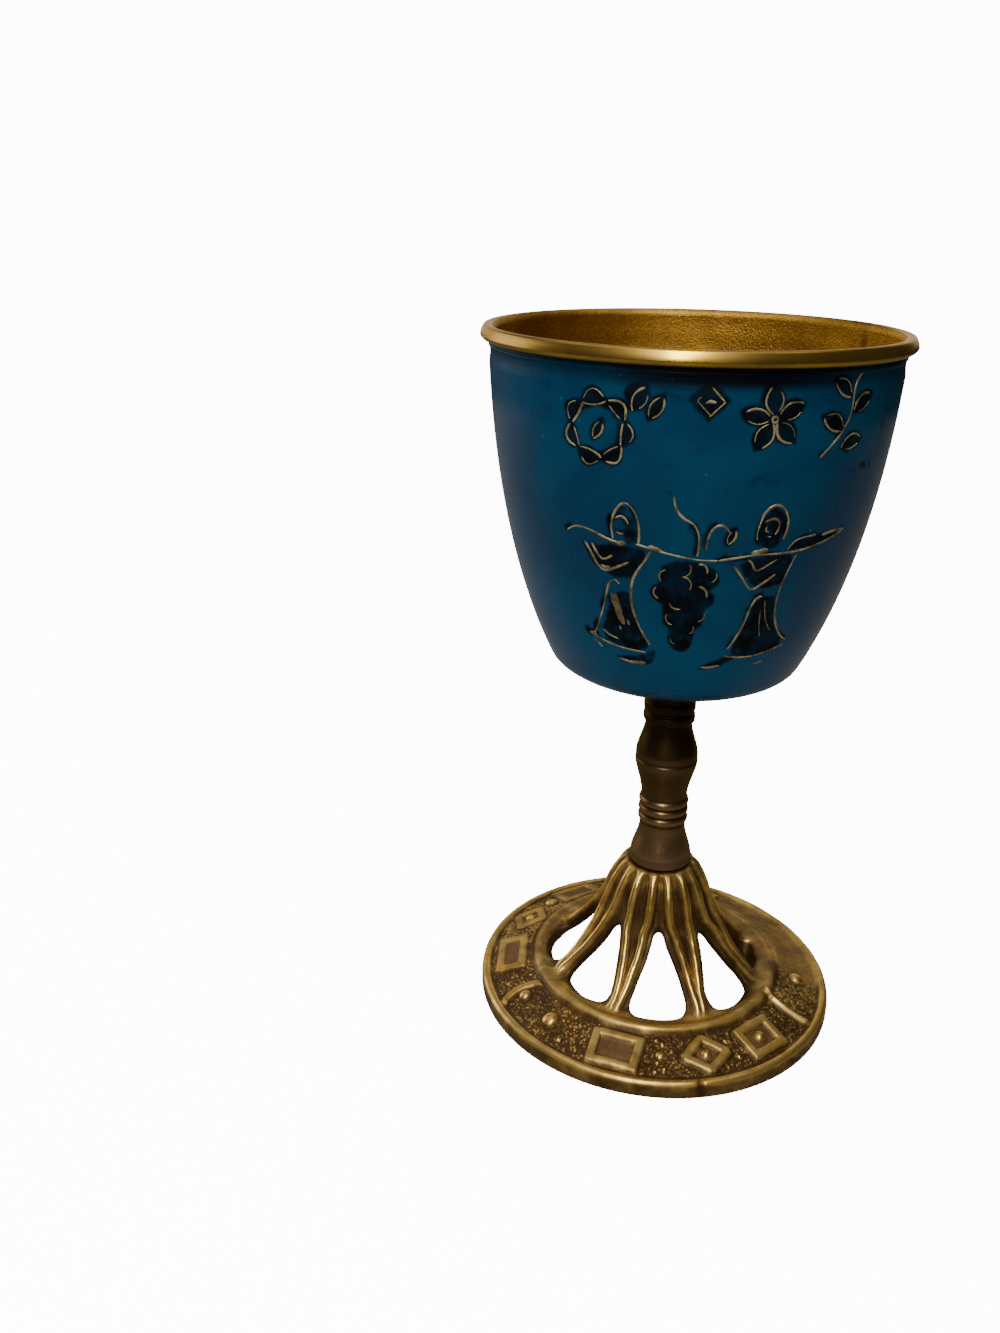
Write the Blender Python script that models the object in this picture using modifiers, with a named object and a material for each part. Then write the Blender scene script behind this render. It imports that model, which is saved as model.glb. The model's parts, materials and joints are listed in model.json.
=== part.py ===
# Kiddush cup: a spun brass cup on a turned stem, on a cast foot with eight windows.
# Metres, +Z up. The origin is the middle of the foot's underside, and the cup's front faces -Y.
import math

import bmesh
import bpy
from mathutils import Matrix, Vector

MM = 0.001
GAP = 0.3 * MM                      # left between two pieces that touch

# Heights of the three pieces
CUP_HEIGHT = 140.0 * MM
FOOT_TOP = 30.5 * MM
STEM_TOP = 70.1 * MM

# Bowl
BOWL_STEPS = 36
WALL = 1.0 * MM
BEAD_RADIUS = 1.4 * MM
RIM_RADIUS = 39.05 * MM             # outside of the rolled rim
LIP_RADIUS = 37.4 * MM              # outside of the wall just below the rim
LIP_DROP = 3.5 * MM                 # from the top of the rim to that place
CORNER_RADIUS = 24.5 * MM           # where the side turns into the base
CORNER_HEIGHT = 78.0 * MM
SEAT_RADIUS = 6.1 * MM              # flat underside that sits on the stem
FLOOR_RADIUS = 9.0 * MM             # flat middle of the inside

# Stem
STEM_STEPS = 18
STEM_SEAT_RADIUS = 5.2 * MM
STEM_NECK = 4.75 * MM               # radius at the waists
STEM_SWELL = 6.35 * MM              # radius at the swell and at the flared end
STEM_BEAD = 5.12 * MM
RING_HEIGHTS = (65.9 * MM, 63.4 * MM)
BEAD_HEIGHTS = (44.6 * MM, 42.7 * MM, 40.8 * MM)

# Foot
FOOT_STEPS = 36
FOOT_RADIUS = 37.2 * MM
FOOT_TURN = math.radians(4.2)       # the foot is screwed on a little off the cup's front
RIB_COUNT = 8
RIB_ANGLE = 2 * math.pi / RIB_COUNT
COLLAR_RADIUS = 6.9 * MM
SHOULDER_RADIUS = 11.2 * MM
SHOULDER_HEIGHT = 23.5 * MM
RING_INNER = 23.4 * MM
RING_OUTER = 26.0 * MM
RING_TOP = 7.2 * MM
BAND_OUTER = 35.3 * MM              # the sloping band of raised work lies between ring and edge
BAND_TOP = 6.2 * MM
BAND_LOW = 3.0 * MM
BAND_FALL = (BAND_TOP - BAND_LOW) / (BAND_OUTER - RING_OUTER)
BAND_MIDDLE = (RING_OUTER + BAND_OUTER) / 2
EDGE_TOP = 3.6 * MM
REST_INNER = 34.7 * MM              # the foot stands on a flat ring from here to its edge
SHELL = 1.7 * MM                    # thickness of the casting between the ridges

# Windows and ridges of the dome
WINDOW_TOP = (11.4 * MM, 19.8 * MM)
WINDOW_HALF_WIDTH = 6.0 * MM
WINDOW_TOP_RADIUS = 1.5 * MM
WINDOW_CORNER_RADIUS = 2.2 * MM
RIDGE_RADIUS = 0.95 * MM
RIDGE_STAND = 1.0 * MM              # how far a ridge stands out of the dome
RIDGE_SPREAD = 2.0 * MM             # half the distance between a rib's two ridges, high up
RIDGE_MEET = 0.35 * MM              # and low down, where they run together
RIDGE_FAN = math.radians(13.2)      # the most that a ridge leaves the middle of its rib

# Raised work of the band
RELIEF = 0.6 * MM
BAR = 1.5 * MM                      # width of a stroke
# Where each motif and each boss stands round the band, in degrees from +X, with a boss's radius
MOTIF_PLACES = [("panel", -101.5), ("lozenge", -68.0), ("square", -44.0), ("crescent", -22.5),
                ("long_panel", -175.5), ("crescent", -151.5), ("lozenge", 158.0), ("panel", 128.0),
                ("crescent", 103.0), ("square", 78.0), ("lozenge", 50.0), ("long_panel", 22.0)]
BOSS_PLACES = [(-130.0, 1.6 * MM), (-2.0, 1.8 * MM), (-85.0, 1.0 * MM), (-68.0, 1.1 * MM),
               (-44.0, 1.3 * MM), (-147.0, 1.2 * MM), (143.0, 1.5 * MM), (91.0, 1.2 * MM),
               (64.0, 1.5 * MM), (78.0, 1.3 * MM), (50.0, 1.1 * MM), (158.0, 1.1 * MM)]


# Outlines, as lists of (radius, height)

def bezier(p0, p1, p2, p3, count):
    """Points on a cubic curve, both ends included."""
    points = []
    for i in range(count + 1):
        t = i / count
        a, b, c, d = (1 - t) ** 3, 3 * (1 - t) ** 2 * t, 3 * (1 - t) * t * t, t ** 3
        points.append((a * p0[0] + b * p1[0] + c * p2[0] + d * p3[0],
                       a * p0[1] + b * p1[1] + c * p2[1] + d * p3[1]))
    return points


def arc(centre, radius, start, end, count):
    """Points on an arc, from the angle start to the angle end, in degrees."""
    points = []
    for i in range(count + 1):
        angle = math.radians(start + (end - start) * i / count)
        points.append((centre[0] + radius * math.cos(angle), centre[1] + radius * math.sin(angle)))
    return points


def offset(points, distance):
    """The same outline moved sideways, to the right of its direction of travel."""
    moved = []
    for i, (r, z) in enumerate(points):
        before = points[max(i - 1, 0)]
        after = points[min(i + 1, len(points) - 1)]
        dr, dz = after[0] - before[0], after[1] - before[1]
        length = math.hypot(dr, dz)
        moved.append((r + distance * dz / length, z - distance * dr / length))
    return moved


# Objects, materials and modifiers

def material(name, colour, roughness, metallic):
    mat = bpy.data.materials.new(name)
    mat.use_nodes = True
    shader = mat.node_tree.nodes["Principled BSDF"]
    shader.inputs["Base Color"].default_value = (*colour, 1.0)
    shader.inputs["Roughness"].default_value = roughness
    shader.inputs["Metallic"].default_value = metallic
    return mat


def add_object(name, data, collection, mat=None):
    obj = bpy.data.objects.new(name, data)
    collection.objects.link(obj)
    if mat is not None:
        data.materials.append(mat)
    return obj


def turned(name, profile, steps, collection, mat, turn=0.0):
    """A turned piece: its half outline, from axis to axis, carried round by a Screw modifier."""
    mesh = bpy.data.meshes.new(name)
    verts = [(r * math.cos(turn), r * math.sin(turn), z) for r, z in profile]
    mesh.from_pydata(verts, [(i, i + 1) for i in range(len(verts) - 1)], [])
    obj = add_object(name, mesh, collection, mat)
    screw = obj.modifiers.new("turn", 'SCREW')
    screw.axis = 'Z'
    screw.angle = 2 * math.pi
    screw.steps = steps
    screw.render_steps = steps
    screw.use_merge_vertices = True
    screw.merge_threshold = 0.00001
    screw.use_smooth_shade = True
    return obj


def as_cutter(obj):
    obj.hide_render = True
    obj.display_type = 'WIRE'
    return obj


def boolean(target, tool, operation, solver='EXACT'):
    mod = target.modifiers.new(operation.lower(), 'BOOLEAN')
    mod.operation = operation
    mod.solver = solver
    mod.object = tool


def as_mesh_object(name, obj, collection):
    """The evaluated mesh of a curve object, its caps welded, in an object of its own."""
    bpy.context.view_layer.update()
    evaluated = obj.evaluated_get(bpy.context.evaluated_depsgraph_get())
    mesh = bpy.data.meshes.new_from_object(evaluated)
    bm = bmesh.new()
    bm.from_mesh(mesh)
    bmesh.ops.remove_doubles(bm, verts=bm.verts, dist=0.00001)
    bmesh.ops.recalc_face_normals(bm, faces=bm.faces)
    bm.to_mesh(mesh)
    bm.free()
    new = add_object(name, mesh, collection)
    new.matrix_world = obj.matrix_world.copy()
    bpy.data.objects.remove(obj)
    return new


def surface_place(angle, radius, height, fall):
    """A place on a sloping ring face: x runs round it, y up its slope and z out of it."""
    out = Vector((math.cos(angle), math.sin(angle), 0.0))
    up_slope = Vector((-out.x, -out.y, fall)).normalized()
    across = Vector((-out.y, out.x, 0.0))
    place = Matrix((across, up_slope, across.cross(up_slope))).transposed().to_4x4()
    place.translation = radius * out + Vector((0.0, 0.0, height))
    return place


# Bowl

def bowl_outside(side_count, base_count):
    """Outer outline, rim to seat: a long side, a round corner and a shallow cone below."""
    lip = (LIP_RADIUS, CUP_HEIGHT - LIP_DROP)
    corner = (CORNER_RADIUS, CORNER_HEIGHT)
    seat = (SEAT_RADIUS, STEM_TOP + GAP)
    side = bezier(lip, (36.3 * MM, 112.4 * MM), (31.8 * MM, 92.9 * MM), corner, side_count)
    base = bezier(corner, (22.4 * MM, 73.7 * MM), (12.5 * MM, 73.8 * MM), seat, base_count)
    return side + base[1:]


def make_bowl(collection, mat):
    outside = bowl_outside(6, 6)
    inside = [p for p in offset(bowl_outside(5, 5), WALL) if p[0] > FLOOR_RADIUS]
    floor = inside[-1][1]
    bead_centre = (RIM_RADIUS - BEAD_RADIUS, CUP_HEIGHT - BEAD_RADIUS)
    bead = arc(bead_centre, BEAD_RADIUS, 175, -95, 6)
    profile = [(0.0, floor), (FLOOR_RADIUS - WALL / 2, floor)] + inside[::-1] + bead + outside
    profile.append((0.0, outside[-1][1]))
    return turned("bowl", profile, BOWL_STEPS, collection, mat)


# Stem

def stem_outline():
    """Outer outline, top to bottom: two rings, a waist, a belted swell, three beads, a flare."""
    points = [(STEM_SEAT_RADIUS, STEM_TOP), (STEM_SEAT_RADIUS, RING_HEIGHTS[0] + 1.5 * MM)]
    for ring in RING_HEIGHTS:
        points += [(STEM_NECK, ring + 1.15 * MM), (STEM_SEAT_RADIUS, ring + 0.6 * MM),
                   (STEM_SEAT_RADIUS, ring - 0.6 * MM), (STEM_NECK, ring - 1.15 * MM)]
    points += bezier((STEM_NECK, 61.6 * MM), (5.0 * MM, 59.6 * MM), (5.8 * MM, 58.2 * MM),
                     (6.25 * MM, 56.0 * MM), 4)
    belt = 54.3 * MM                # a fine groove round the swell
    points += [(STEM_SWELL, belt + 0.3 * MM), (STEM_SWELL - 0.3 * MM, belt),
               (STEM_SWELL + 0.05 * MM, belt - 0.3 * MM), (STEM_SWELL, 53.0 * MM)]
    points += bezier((6.22 * MM, 51.1 * MM), (5.7 * MM, 49.4 * MM), (4.95 * MM, 47.8 * MM),
                     (STEM_NECK, 46.2 * MM), 4)
    for bead in BEAD_HEIGHTS:
        points += [(STEM_BEAD - 0.3 * MM, bead + 0.95 * MM), (STEM_BEAD, bead + 0.45 * MM),
                   (STEM_BEAD, bead - 0.45 * MM)]
    points += [(STEM_BEAD - 0.3 * MM, BEAD_HEIGHTS[-1] - 0.95 * MM)]
    points += bezier((STEM_NECK, 38.4 * MM), (5.0 * MM, 36.6 * MM), (5.9 * MM, 34.9 * MM),
                     (STEM_SWELL, 32.8 * MM), 4)
    points.append((STEM_SWELL + 0.05 * MM, FOOT_TOP + GAP))
    return points


def make_stem(collection, mat):
    outline = stem_outline()
    profile = [(0.0, outline[0][1])] + outline + [(0.0, outline[-1][1])]
    return turned("stem", profile, STEM_STEPS, collection, mat)


# Foot

def dome_crest(shoulder_count, skirt_count):
    """Outline of the dome over the crests of its ridges, collar to ring."""
    waist = (SHOULDER_RADIUS, SHOULDER_HEIGHT)
    shoulder = bezier((COLLAR_RADIUS, FOOT_TOP), (8.4 * MM, 30.0 * MM), (10.2 * MM, 26.6 * MM),
                      waist, shoulder_count)
    skirt = bezier(waist, (12.1 * MM, 20.4 * MM), (16.2 * MM, 12.1 * MM),
                   (RING_INNER, RING_TOP - 0.4 * MM), skirt_count)
    return shoulder + skirt[1:]


def foot_profile():
    """Half section of the casting: over the top, round the edge and back underneath."""
    web = offset(dome_crest(3, 5), RIDGE_STAND)
    under = offset(dome_crest(2, 4), RIDGE_STAND + SHELL)
    top = [(0.0, FOOT_TOP), (COLLAR_RADIUS - 0.3 * MM, FOOT_TOP)] + web[1:-1]
    ring = [(RING_INNER, RING_TOP - 0.3 * MM), (RING_INNER + 1.0 * MM, RING_TOP),
            (RING_OUTER - 0.4 * MM, RING_TOP - 0.3 * MM), (RING_OUTER + 0.2 * MM, BAND_TOP)]
    edge = [(BAND_OUTER, BAND_LOW), (BAND_OUTER + 0.4 * MM, EDGE_TOP),
            (FOOT_RADIUS - 0.6 * MM, EDGE_TOP - 0.1 * MM), (FOOT_RADIUS, EDGE_TOP - 0.7 * MM),
            (FOOT_RADIUS, 0.5 * MM), (FOOT_RADIUS - 0.5 * MM, 0.0)]
    below = [(REST_INNER, 0.0), (REST_INNER - 0.5 * MM, 1.3 * MM), (RING_OUTER, 4.3 * MM),
             (RING_INNER - 1.2 * MM, 4.7 * MM)]
    inner = [p for p in under[::-1] if p[1] > below[-1][1] + 1.0 * MM]
    return top + ring + edge + below + inner + [(0.0, inner[-1][1])]


def window_outline(length):
    """A rounded triangle: the hull of a circle at its top and one in each lower corner."""
    across = WINDOW_HALF_WIDTH - WINDOW_CORNER_RADIUS
    down = length - WINDOW_TOP_RADIUS - WINDOW_CORNER_RADIUS
    turn = math.atan2(across, down) + math.asin(
        (WINDOW_CORNER_RADIUS - WINDOW_TOP_RADIUS) / math.hypot(across, down))
    turn = math.degrees(turn)
    half = arc((0.0, -WINDOW_TOP_RADIUS), WINDOW_TOP_RADIUS, 90, turn, 3)
    half += arc((across, -length + WINDOW_CORNER_RADIUS), WINDOW_CORNER_RADIUS, turn, -80, 5)
    bow = RING_INNER * (1 - math.cos(across / RING_INNER))
    half.append((0.0, -length - bow))
    return half + [(-u, v) for u, v in half[-2:0:-1]]


def window_cutter(index, collection):
    """The window's outline, pushed through the dome square to its slope."""
    run = RING_INNER - WINDOW_TOP[0]
    drop = WINDOW_TOP[1] - (RING_TOP - 0.5 * MM)
    outline = window_outline(math.hypot(run, drop))
    curve = bpy.data.curves.new("window", 'CURVE')
    curve.dimensions = '2D'
    curve.fill_mode = 'BOTH'
    curve.extrude = 5.0 * MM
    spline = curve.splines.new('POLY')
    spline.points.add(len(outline) - 1)
    for point, (u, v) in zip(spline.points, outline):
        point.co = (u, v, 0.0, 1.0)
    spline.use_cyclic_u = True
    obj = add_object("window_curve", curve, collection)
    angle = -math.pi / 2 + FOOT_TURN + index * RIB_ANGLE
    obj.matrix_world = surface_place(angle, WINDOW_TOP[0], WINDOW_TOP[1], drop / run)
    return as_cutter(as_mesh_object("window_cutter_%d" % index, obj, collection))


def ridge(index, side, collection):
    """One of a rib's two ridges: they spread at the collar and run together at the ring."""
    path = offset(dome_crest(3, 5), RIDGE_RADIUS)[1:]
    middle = -math.pi / 2 + FOOT_TURN + (index + 0.5) * RIB_ANGLE
    curve = bpy.data.curves.new("ridge", 'CURVE')
    curve.dimensions = '3D'
    curve.bevel_depth = RIDGE_RADIUS
    curve.bevel_resolution = 2
    curve.use_fill_caps = True
    spline = curve.splines.new('POLY')
    spline.points.add(len(path) - 1)
    for i, (r, z) in enumerate(path):
        low = 1 - min(1.0, max(0.0, (z - RING_TOP) / (FOOT_TOP - RING_TOP)))
        spread = RIDGE_SPREAD * (1 - low * low) + RIDGE_MEET * low
        angle = middle + side * min(RIDGE_FAN, spread / r)
        spline.points[i].co = (r * math.cos(angle), r * math.sin(angle), z, 1.0)
    spline.points[0].radius = 0.6
    obj = add_object("ridge_curve", curve, collection)
    return as_cutter(as_mesh_object("ridge_%d_%d" % (index, side > 0), obj, collection))


def raised_block(size, height):
    """A low block of the raised work, its upper edges drawn in."""
    mesh = bpy.data.meshes.new("block")
    bm = bmesh.new()
    bmesh.ops.create_cube(bm, size=1.0)
    for vert in bm.verts:
        draw_in = 0.15 * BAR if vert.co.z > 0 else 0.0
        vert.co = Vector((math.copysign(size[0] / 2 - draw_in, vert.co.x),
                          math.copysign(size[1] / 2 - draw_in, vert.co.y),
                          math.copysign(height, vert.co.z)))
    bm.to_mesh(mesh)
    bm.free()
    return mesh


def raised_boss(radius):
    """A low round boss."""
    mesh = bpy.data.meshes.new("boss")
    bm = bmesh.new()
    bmesh.ops.create_cone(bm, cap_ends=True, segments=8, radius1=radius, radius2=0.55 * radius,
                          depth=2.6 * RELIEF)
    bm.to_mesh(mesh)
    bm.free()
    return mesh


# Motifs, as lists of strokes (width, height, x, y, lean)

def frame_strokes(width, height):
    """Four strokes round a sunk panel."""
    strokes = []
    for side in (-1, 1):
        strokes.append((BAR, height, side * (width - BAR) / 2, 0.0, 0.0))
        strokes.append((width, BAR, 0.0, side * (height - BAR) / 2, 0.0))
    return strokes


def lozenge_strokes(width, height):
    """Four leaning strokes that meet in a lozenge."""
    lean = math.atan2(width, height)
    length = math.hypot(width, height) / 2 + BAR / 2
    return [(BAR, length, x * width / 4, y * height / 4, x * y * lean)
            for x in (-1, 1) for y in (-1, 1)]


def crescent_strokes(radius, spread):
    """A bowed bar in five short strokes."""
    strokes = []
    for i in range(-2, 3):
        angle = spread * i / 2
        strokes.append((1.15 * BAR, 0.6 * radius * spread, radius * (1 - math.cos(angle)),
                        radius * math.sin(angle), -angle))
    return strokes


def raised_work(collection):
    """Panels, lozenges and bowed bars round the band, with bosses in and between them."""
    motifs = {"panel": frame_strokes(10.4 * MM, 8.0 * MM),
              "square": frame_strokes(9.2 * MM, 7.6 * MM),
              "long_panel": frame_strokes(12.0 * MM, 6.6 * MM),
              "lozenge": lozenge_strokes(8.6 * MM, 6.8 * MM),
              "crescent": crescent_strokes(7.0 * MM, math.radians(32))}
    pieces = []
    for kind, degrees in MOTIF_PLACES:
        frame = surface_place(math.radians(degrees), BAND_MIDDLE, (BAND_TOP + BAND_LOW) / 2, BAND_FALL)
        for stroke, (width, height, x, y, lean) in enumerate(motifs[kind]):
            stand = RELIEF * (1 + 0.05 * stroke)
            place = frame @ Matrix.Translation((x, y, 0.0)) @ Matrix.Rotation(lean, 4, 'Z')
            pieces.append((kind, raised_block((width, height), stand), place))
    for degrees, radius in BOSS_PLACES:
        place = surface_place(math.radians(degrees), BAND_MIDDLE, (BAND_TOP + BAND_LOW) / 2, BAND_FALL)
        pieces.append(("boss", raised_boss(radius), place))
    cutters = []
    for number, (kind, mesh, place) in enumerate(pieces):
        obj = as_cutter(add_object("%s_stroke_%d" % (kind, number), mesh, collection))
        obj.matrix_world = place
        cutters.append(obj)
    return cutters


def make_foot(collection, cutters, mat):
    # The casting's first facet starts clear of the windows' middles, so no two edges coincide.
    facet = 0.3 * 2 * math.pi / FOOT_STEPS
    foot = turned("foot", foot_profile(), FOOT_STEPS, collection, mat, FOOT_TURN + facet)
    for index in range(RIB_COUNT):
        boolean(foot, window_cutter(index, cutters), 'DIFFERENCE')
    for index in range(RIB_COUNT):
        for side in (-1, 1):
            boolean(foot, ridge(index, side, cutters), 'UNION', 'MANIFOLD')
    for piece in raised_work(cutters):
        boolean(foot, piece, 'UNION', 'MANIFOLD')
    return foot


def main():
    for obj in list(bpy.data.objects):
        bpy.data.objects.remove(obj)
    collection = bpy.data.collections.new("kiddush_cup")
    cutters = bpy.data.collections.new("cutters")
    bpy.context.scene.collection.children.link(collection)
    bpy.context.scene.collection.children.link(cutters)
    enamel = material("blue_enamel", (0.01, 0.10, 0.19), 0.25, 0.2)
    bronze = material("brown_brass", (0.16, 0.10, 0.05), 0.38, 0.9)
    brass = material("cast_brass", (0.42, 0.29, 0.10), 0.4, 0.95)
    make_bowl(collection, enamel)
    make_stem(collection, bronze)
    make_foot(collection, cutters, brass)


main()
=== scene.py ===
# Kiddush cup: an enamelled bowl with gold lines, a turned stem and a pierced cast foot.
# The numbers here are millimetres, and the meshes are metres. The cup stands on z = 0 and faces -Y.
import json
import math

import bpy
import numpy as np
from mathutils import Matrix, Vector

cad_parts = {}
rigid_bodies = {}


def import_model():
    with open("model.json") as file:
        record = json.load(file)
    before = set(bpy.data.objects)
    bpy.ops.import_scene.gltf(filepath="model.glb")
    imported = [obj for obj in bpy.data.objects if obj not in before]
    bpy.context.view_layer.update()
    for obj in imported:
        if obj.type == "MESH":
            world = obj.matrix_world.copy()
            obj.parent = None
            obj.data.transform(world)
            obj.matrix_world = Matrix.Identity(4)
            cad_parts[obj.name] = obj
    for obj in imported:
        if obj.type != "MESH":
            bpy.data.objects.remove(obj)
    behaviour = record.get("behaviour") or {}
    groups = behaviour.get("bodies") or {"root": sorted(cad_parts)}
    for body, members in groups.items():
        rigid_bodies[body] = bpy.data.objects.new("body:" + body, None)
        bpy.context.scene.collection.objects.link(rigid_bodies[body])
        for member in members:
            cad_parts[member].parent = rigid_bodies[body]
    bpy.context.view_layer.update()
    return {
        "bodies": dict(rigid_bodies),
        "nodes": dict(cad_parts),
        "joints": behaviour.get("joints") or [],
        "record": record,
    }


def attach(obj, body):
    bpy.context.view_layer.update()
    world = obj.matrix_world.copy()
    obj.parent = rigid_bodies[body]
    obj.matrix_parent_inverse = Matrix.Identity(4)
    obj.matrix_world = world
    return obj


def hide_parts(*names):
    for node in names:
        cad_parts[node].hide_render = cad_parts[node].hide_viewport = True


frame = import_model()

mm = 0.001


# Shapes that the pieces share

def ease(x, low, high):
    # 0 below low, 1 above high, and 3t^2 - 2t^3 between them
    t = np.clip((x - low) / (high - low), 0.0, 1.0)
    return t * t * (3.0 - 2.0 * t)


def fade(x, low, high):
    return 1 - ease(x, low, high)


def largest(*values):
    found = values[0]
    for value in values[1:]:
        found = np.maximum(found, value)
    return found


def bezier(p0, p1, p2, p3, count=30):
    # cubic curve: the four points weighed by (1-t)^3, 3t(1-t)^2, 3t^2(1-t) and t^3
    t = np.linspace(0.0, 1.0, count)[:, None]
    p0, p1, p2, p3 = (np.array(p, float) for p in (p0, p1, p2, p3))
    return (1 - t) ** 3 * p0 + 3 * (1 - t) ** 2 * t * p1 + 3 * (1 - t) * t * t * p2 + t ** 3 * p3


def softened(path, cuts=2):
    # every corner is cut at a quarter and three quarters of its sides, the ends stay
    path = np.array(path, float)
    for _ in range(cuts):
        a, b = path[:-1], path[1:]
        cut = np.stack([0.75 * a + 0.25 * b, 0.25 * a + 0.75 * b], 1).reshape(-1, path.shape[1])
        path = np.vstack([path[:1], cut[1:-1], path[-1:]])
    return path


def lengthAlong(path):
    return np.concatenate([[0.0], np.cumsum(np.linalg.norm(np.diff(path, axis=0), axis=1))])


def spaced(path, step):
    # points at even steps of length along the path, both ends kept
    path = np.asarray(path, float)
    run = lengthAlong(path)
    at = np.linspace(0.0, run[-1], max(2, int(round(run[-1] / step)) + 1))
    return np.stack([np.interp(at, run, path[:, k]) for k in range(path.shape[1])], 1)


def smoothed(path, cuts, step):
    return spaced(softened(path, cuts), step)


def unit(ways):
    return ways / np.linalg.norm(ways, axis=-1, keepdims=True)


def sideways(path):
    # unit normal of an outline of (radius, height): the direction of travel turned left
    way = unit(np.gradient(path, axis=0))
    return np.stack([-way[:, 1], way[:, 0]], 1)


def mottle(x, y, seed=0):
    # smooth noise from 0 to 1: hashed values on a unit grid, mixed by 3t^2 - 2t^3
    xi, yi = np.floor(x), np.floor(y)
    u, v = ease(x - xi, 0, 1), ease(y - yi, 0, 1)

    def corner(a, b):
        h = np.sin(a * 127.1 + b * 311.7 + seed * 74.7) * 43758.5453
        return h - np.floor(h)
    top = corner(xi, yi) * (1 - u) + corner(xi + 1, yi) * u
    low = corner(xi, yi + 1) * (1 - u) + corner(xi + 1, yi + 1) * u
    return top * (1 - v) + low * v


def lineGap(points, path, closed=False, step=4000):
    # distance from an open line of points, or signed distance from a closed outline: the nearest
    # side, and negative inside by the crossing count
    a, b = (path, np.roll(path, -1, axis=0)) if closed else (path[:-1], path[1:])
    side = b - a
    rise = np.where(np.abs(side[:, 1]) < 1e-12, 1e-12, side[:, 1])
    found = np.empty(len(points))
    for start in range(0, len(points), step):
        p = points[start:start + step, None]
        t = np.clip(((p - a) * side).sum(-1) / np.maximum((side * side).sum(-1), 1e-12), 0, 1)
        near = np.sqrt((((p - a) - t[..., None] * side) ** 2).sum(-1).min(1))
        if closed:
            crossed = ((a[:, 1] > p[..., 1]) != (b[:, 1] > p[..., 1])) & (
                p[..., 0] < a[:, 0] + side[:, 0] * (p[..., 1] - a[:, 1]) / rise)
            near = np.where(crossed.sum(1) % 2 == 1, -near, near)
        found[start:start + step] = near
    return found


def polar(r, angle, z):
    return np.stack(np.broadcast_arrays(r * np.cos(angle), r * np.sin(angle), z), -1)


def anglesOf(points):
    return np.degrees(np.arctan2(points[:, 1], points[:, 0]))


def turnedBlock(outline, angles):
    # (r cos a, r sin a, z) for each point of the outline and each angle
    outline = np.array(outline, float)
    return polar(outline[:, :1], angles, outline[:, 1:])


def poleBlock(z):
    return np.array([[[0.0, 0.0, z]]])


def numberRows(blocks):
    # one list of points for all blocks, and the numbers of each row's points
    points = np.vstack([block.reshape(-1, 3) for block in blocks])
    rows, first = [], 0
    for block in blocks:
        count = block.shape[0] * block.shape[1]
        rows += list(np.arange(first, first + count).reshape(block.shape[:2]))
        first += count
    return points, rows


def joinRows(rows):
    # faces between rows of points round the axis: four-sided between equal rows, five-sided
    # where one row has twice as many points, and a fan of triangles round a pole
    strips = []
    for upper, lower in zip(rows[:-1], rows[1:]):
        nextUpper, nextLower = np.roll(upper, -1), np.roll(lower, -1)
        if len(upper) == len(lower):
            strip = [upper, lower, nextLower, nextUpper]
        elif len(upper) == 1:
            strip = [np.repeat(upper, len(lower)), lower, nextLower]
        elif len(lower) == 1:
            strip = [upper, np.repeat(lower, len(upper)), nextUpper]
        elif len(lower) == 2 * len(upper):
            strip = [upper, lower[::2], lower[1::2], np.roll(lower[::2], -1), nextUpper]
        else:
            strip = [upper[::2], lower, nextLower, np.roll(upper[::2], -1), upper[1::2]]
        strips.append(np.stack(strip, 1))
    return strips


def placed(name, data):
    thing = bpy.data.objects.new(name, data)
    bpy.context.scene.collection.objects.link(thing)
    return thing


def makePiece(name, points, strips, materials, marks, stripMaterial=None):
    # a mesh of its own from points in millimetres, smooth, with a value for each point and mark
    faces = [face for strip in strips for face in strip.tolist()]
    mesh = bpy.data.meshes.new(name)
    mesh.from_pydata((points * mm).tolist(), [], faces)
    mesh.polygons.foreach_set("use_smooth", np.ones(len(faces), bool))
    for material in materials:
        mesh.materials.append(material)
    if stripMaterial is not None:
        index = np.concatenate([np.full(len(s), m) for s, m in zip(strips, stripMaterial)])
        mesh.polygons.foreach_set("material_index", index.astype(np.int32))
    for label, values in marks.items():
        layer = mesh.attributes.new(label, 'FLOAT', 'POINT')
        layer.data.foreach_set("value", np.asarray(values, np.float32))
    mesh.update()
    piece = placed(name, mesh)
    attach(piece, "root")
    triangles = sum(len(s) * (s.shape[1] - 2) for s in strips)
    print(f"{name}: {len(points)} points, {triangles} triangles")
    return piece


# Node groups and materials

def feed(node, inputs):
    # sets the node's inputs: a socket is linked, anything else is its constant value
    for label, value in inputs.items():
        if isinstance(value, bpy.types.NodeSocket):
            node.id_data.links.new(value, node.inputs[label])
        else:
            node.inputs[label].default_value = value


def wire(tree, kind, inputs={}, **settings):
    node = tree.nodes.new('ShaderNode' + kind)
    for label, value in settings.items():
        setattr(node, label, value)
    feed(node, inputs)
    return node


def socketed(name, inputs, outputs):
    # an empty shader group with named sockets, which are colours where the value is a tuple
    group = bpy.data.node_groups.new(name, 'ShaderNodeTree')
    for way, sockets in (('INPUT', inputs), ('OUTPUT', outputs)):
        for label, value in sockets.items():
            kind = 'NodeSocketColor' if isinstance(value, tuple) else 'NodeSocketFloat'
            group.interface.new_socket(name=label, in_out=way, socket_type=kind).default_value = value
    return group, group.nodes.new('NodeGroupInput').outputs, group.nodes.new('NodeGroupOutput')


def calc(operation, a, b, clamp=False):
    tree = (a if isinstance(a, bpy.types.NodeSocket) else b).id_data
    return wire(tree, 'Math', {0: a, 1: b}, operation=operation, use_clamp=clamp).outputs[0]


def add(a, b):
    return calc('ADD', a, b)


def minus(a, b):
    return calc('SUBTRACT', a, b)


def times(a, b):
    return calc('MULTIPLY', a, b)


def between(factor, a, b, blend='MIX'):
    return wire(factor.id_data, 'Mix', {0: factor, 6: a, 7: b}, data_type='RGBA',
                blend_type=blend).outputs[2]


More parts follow.
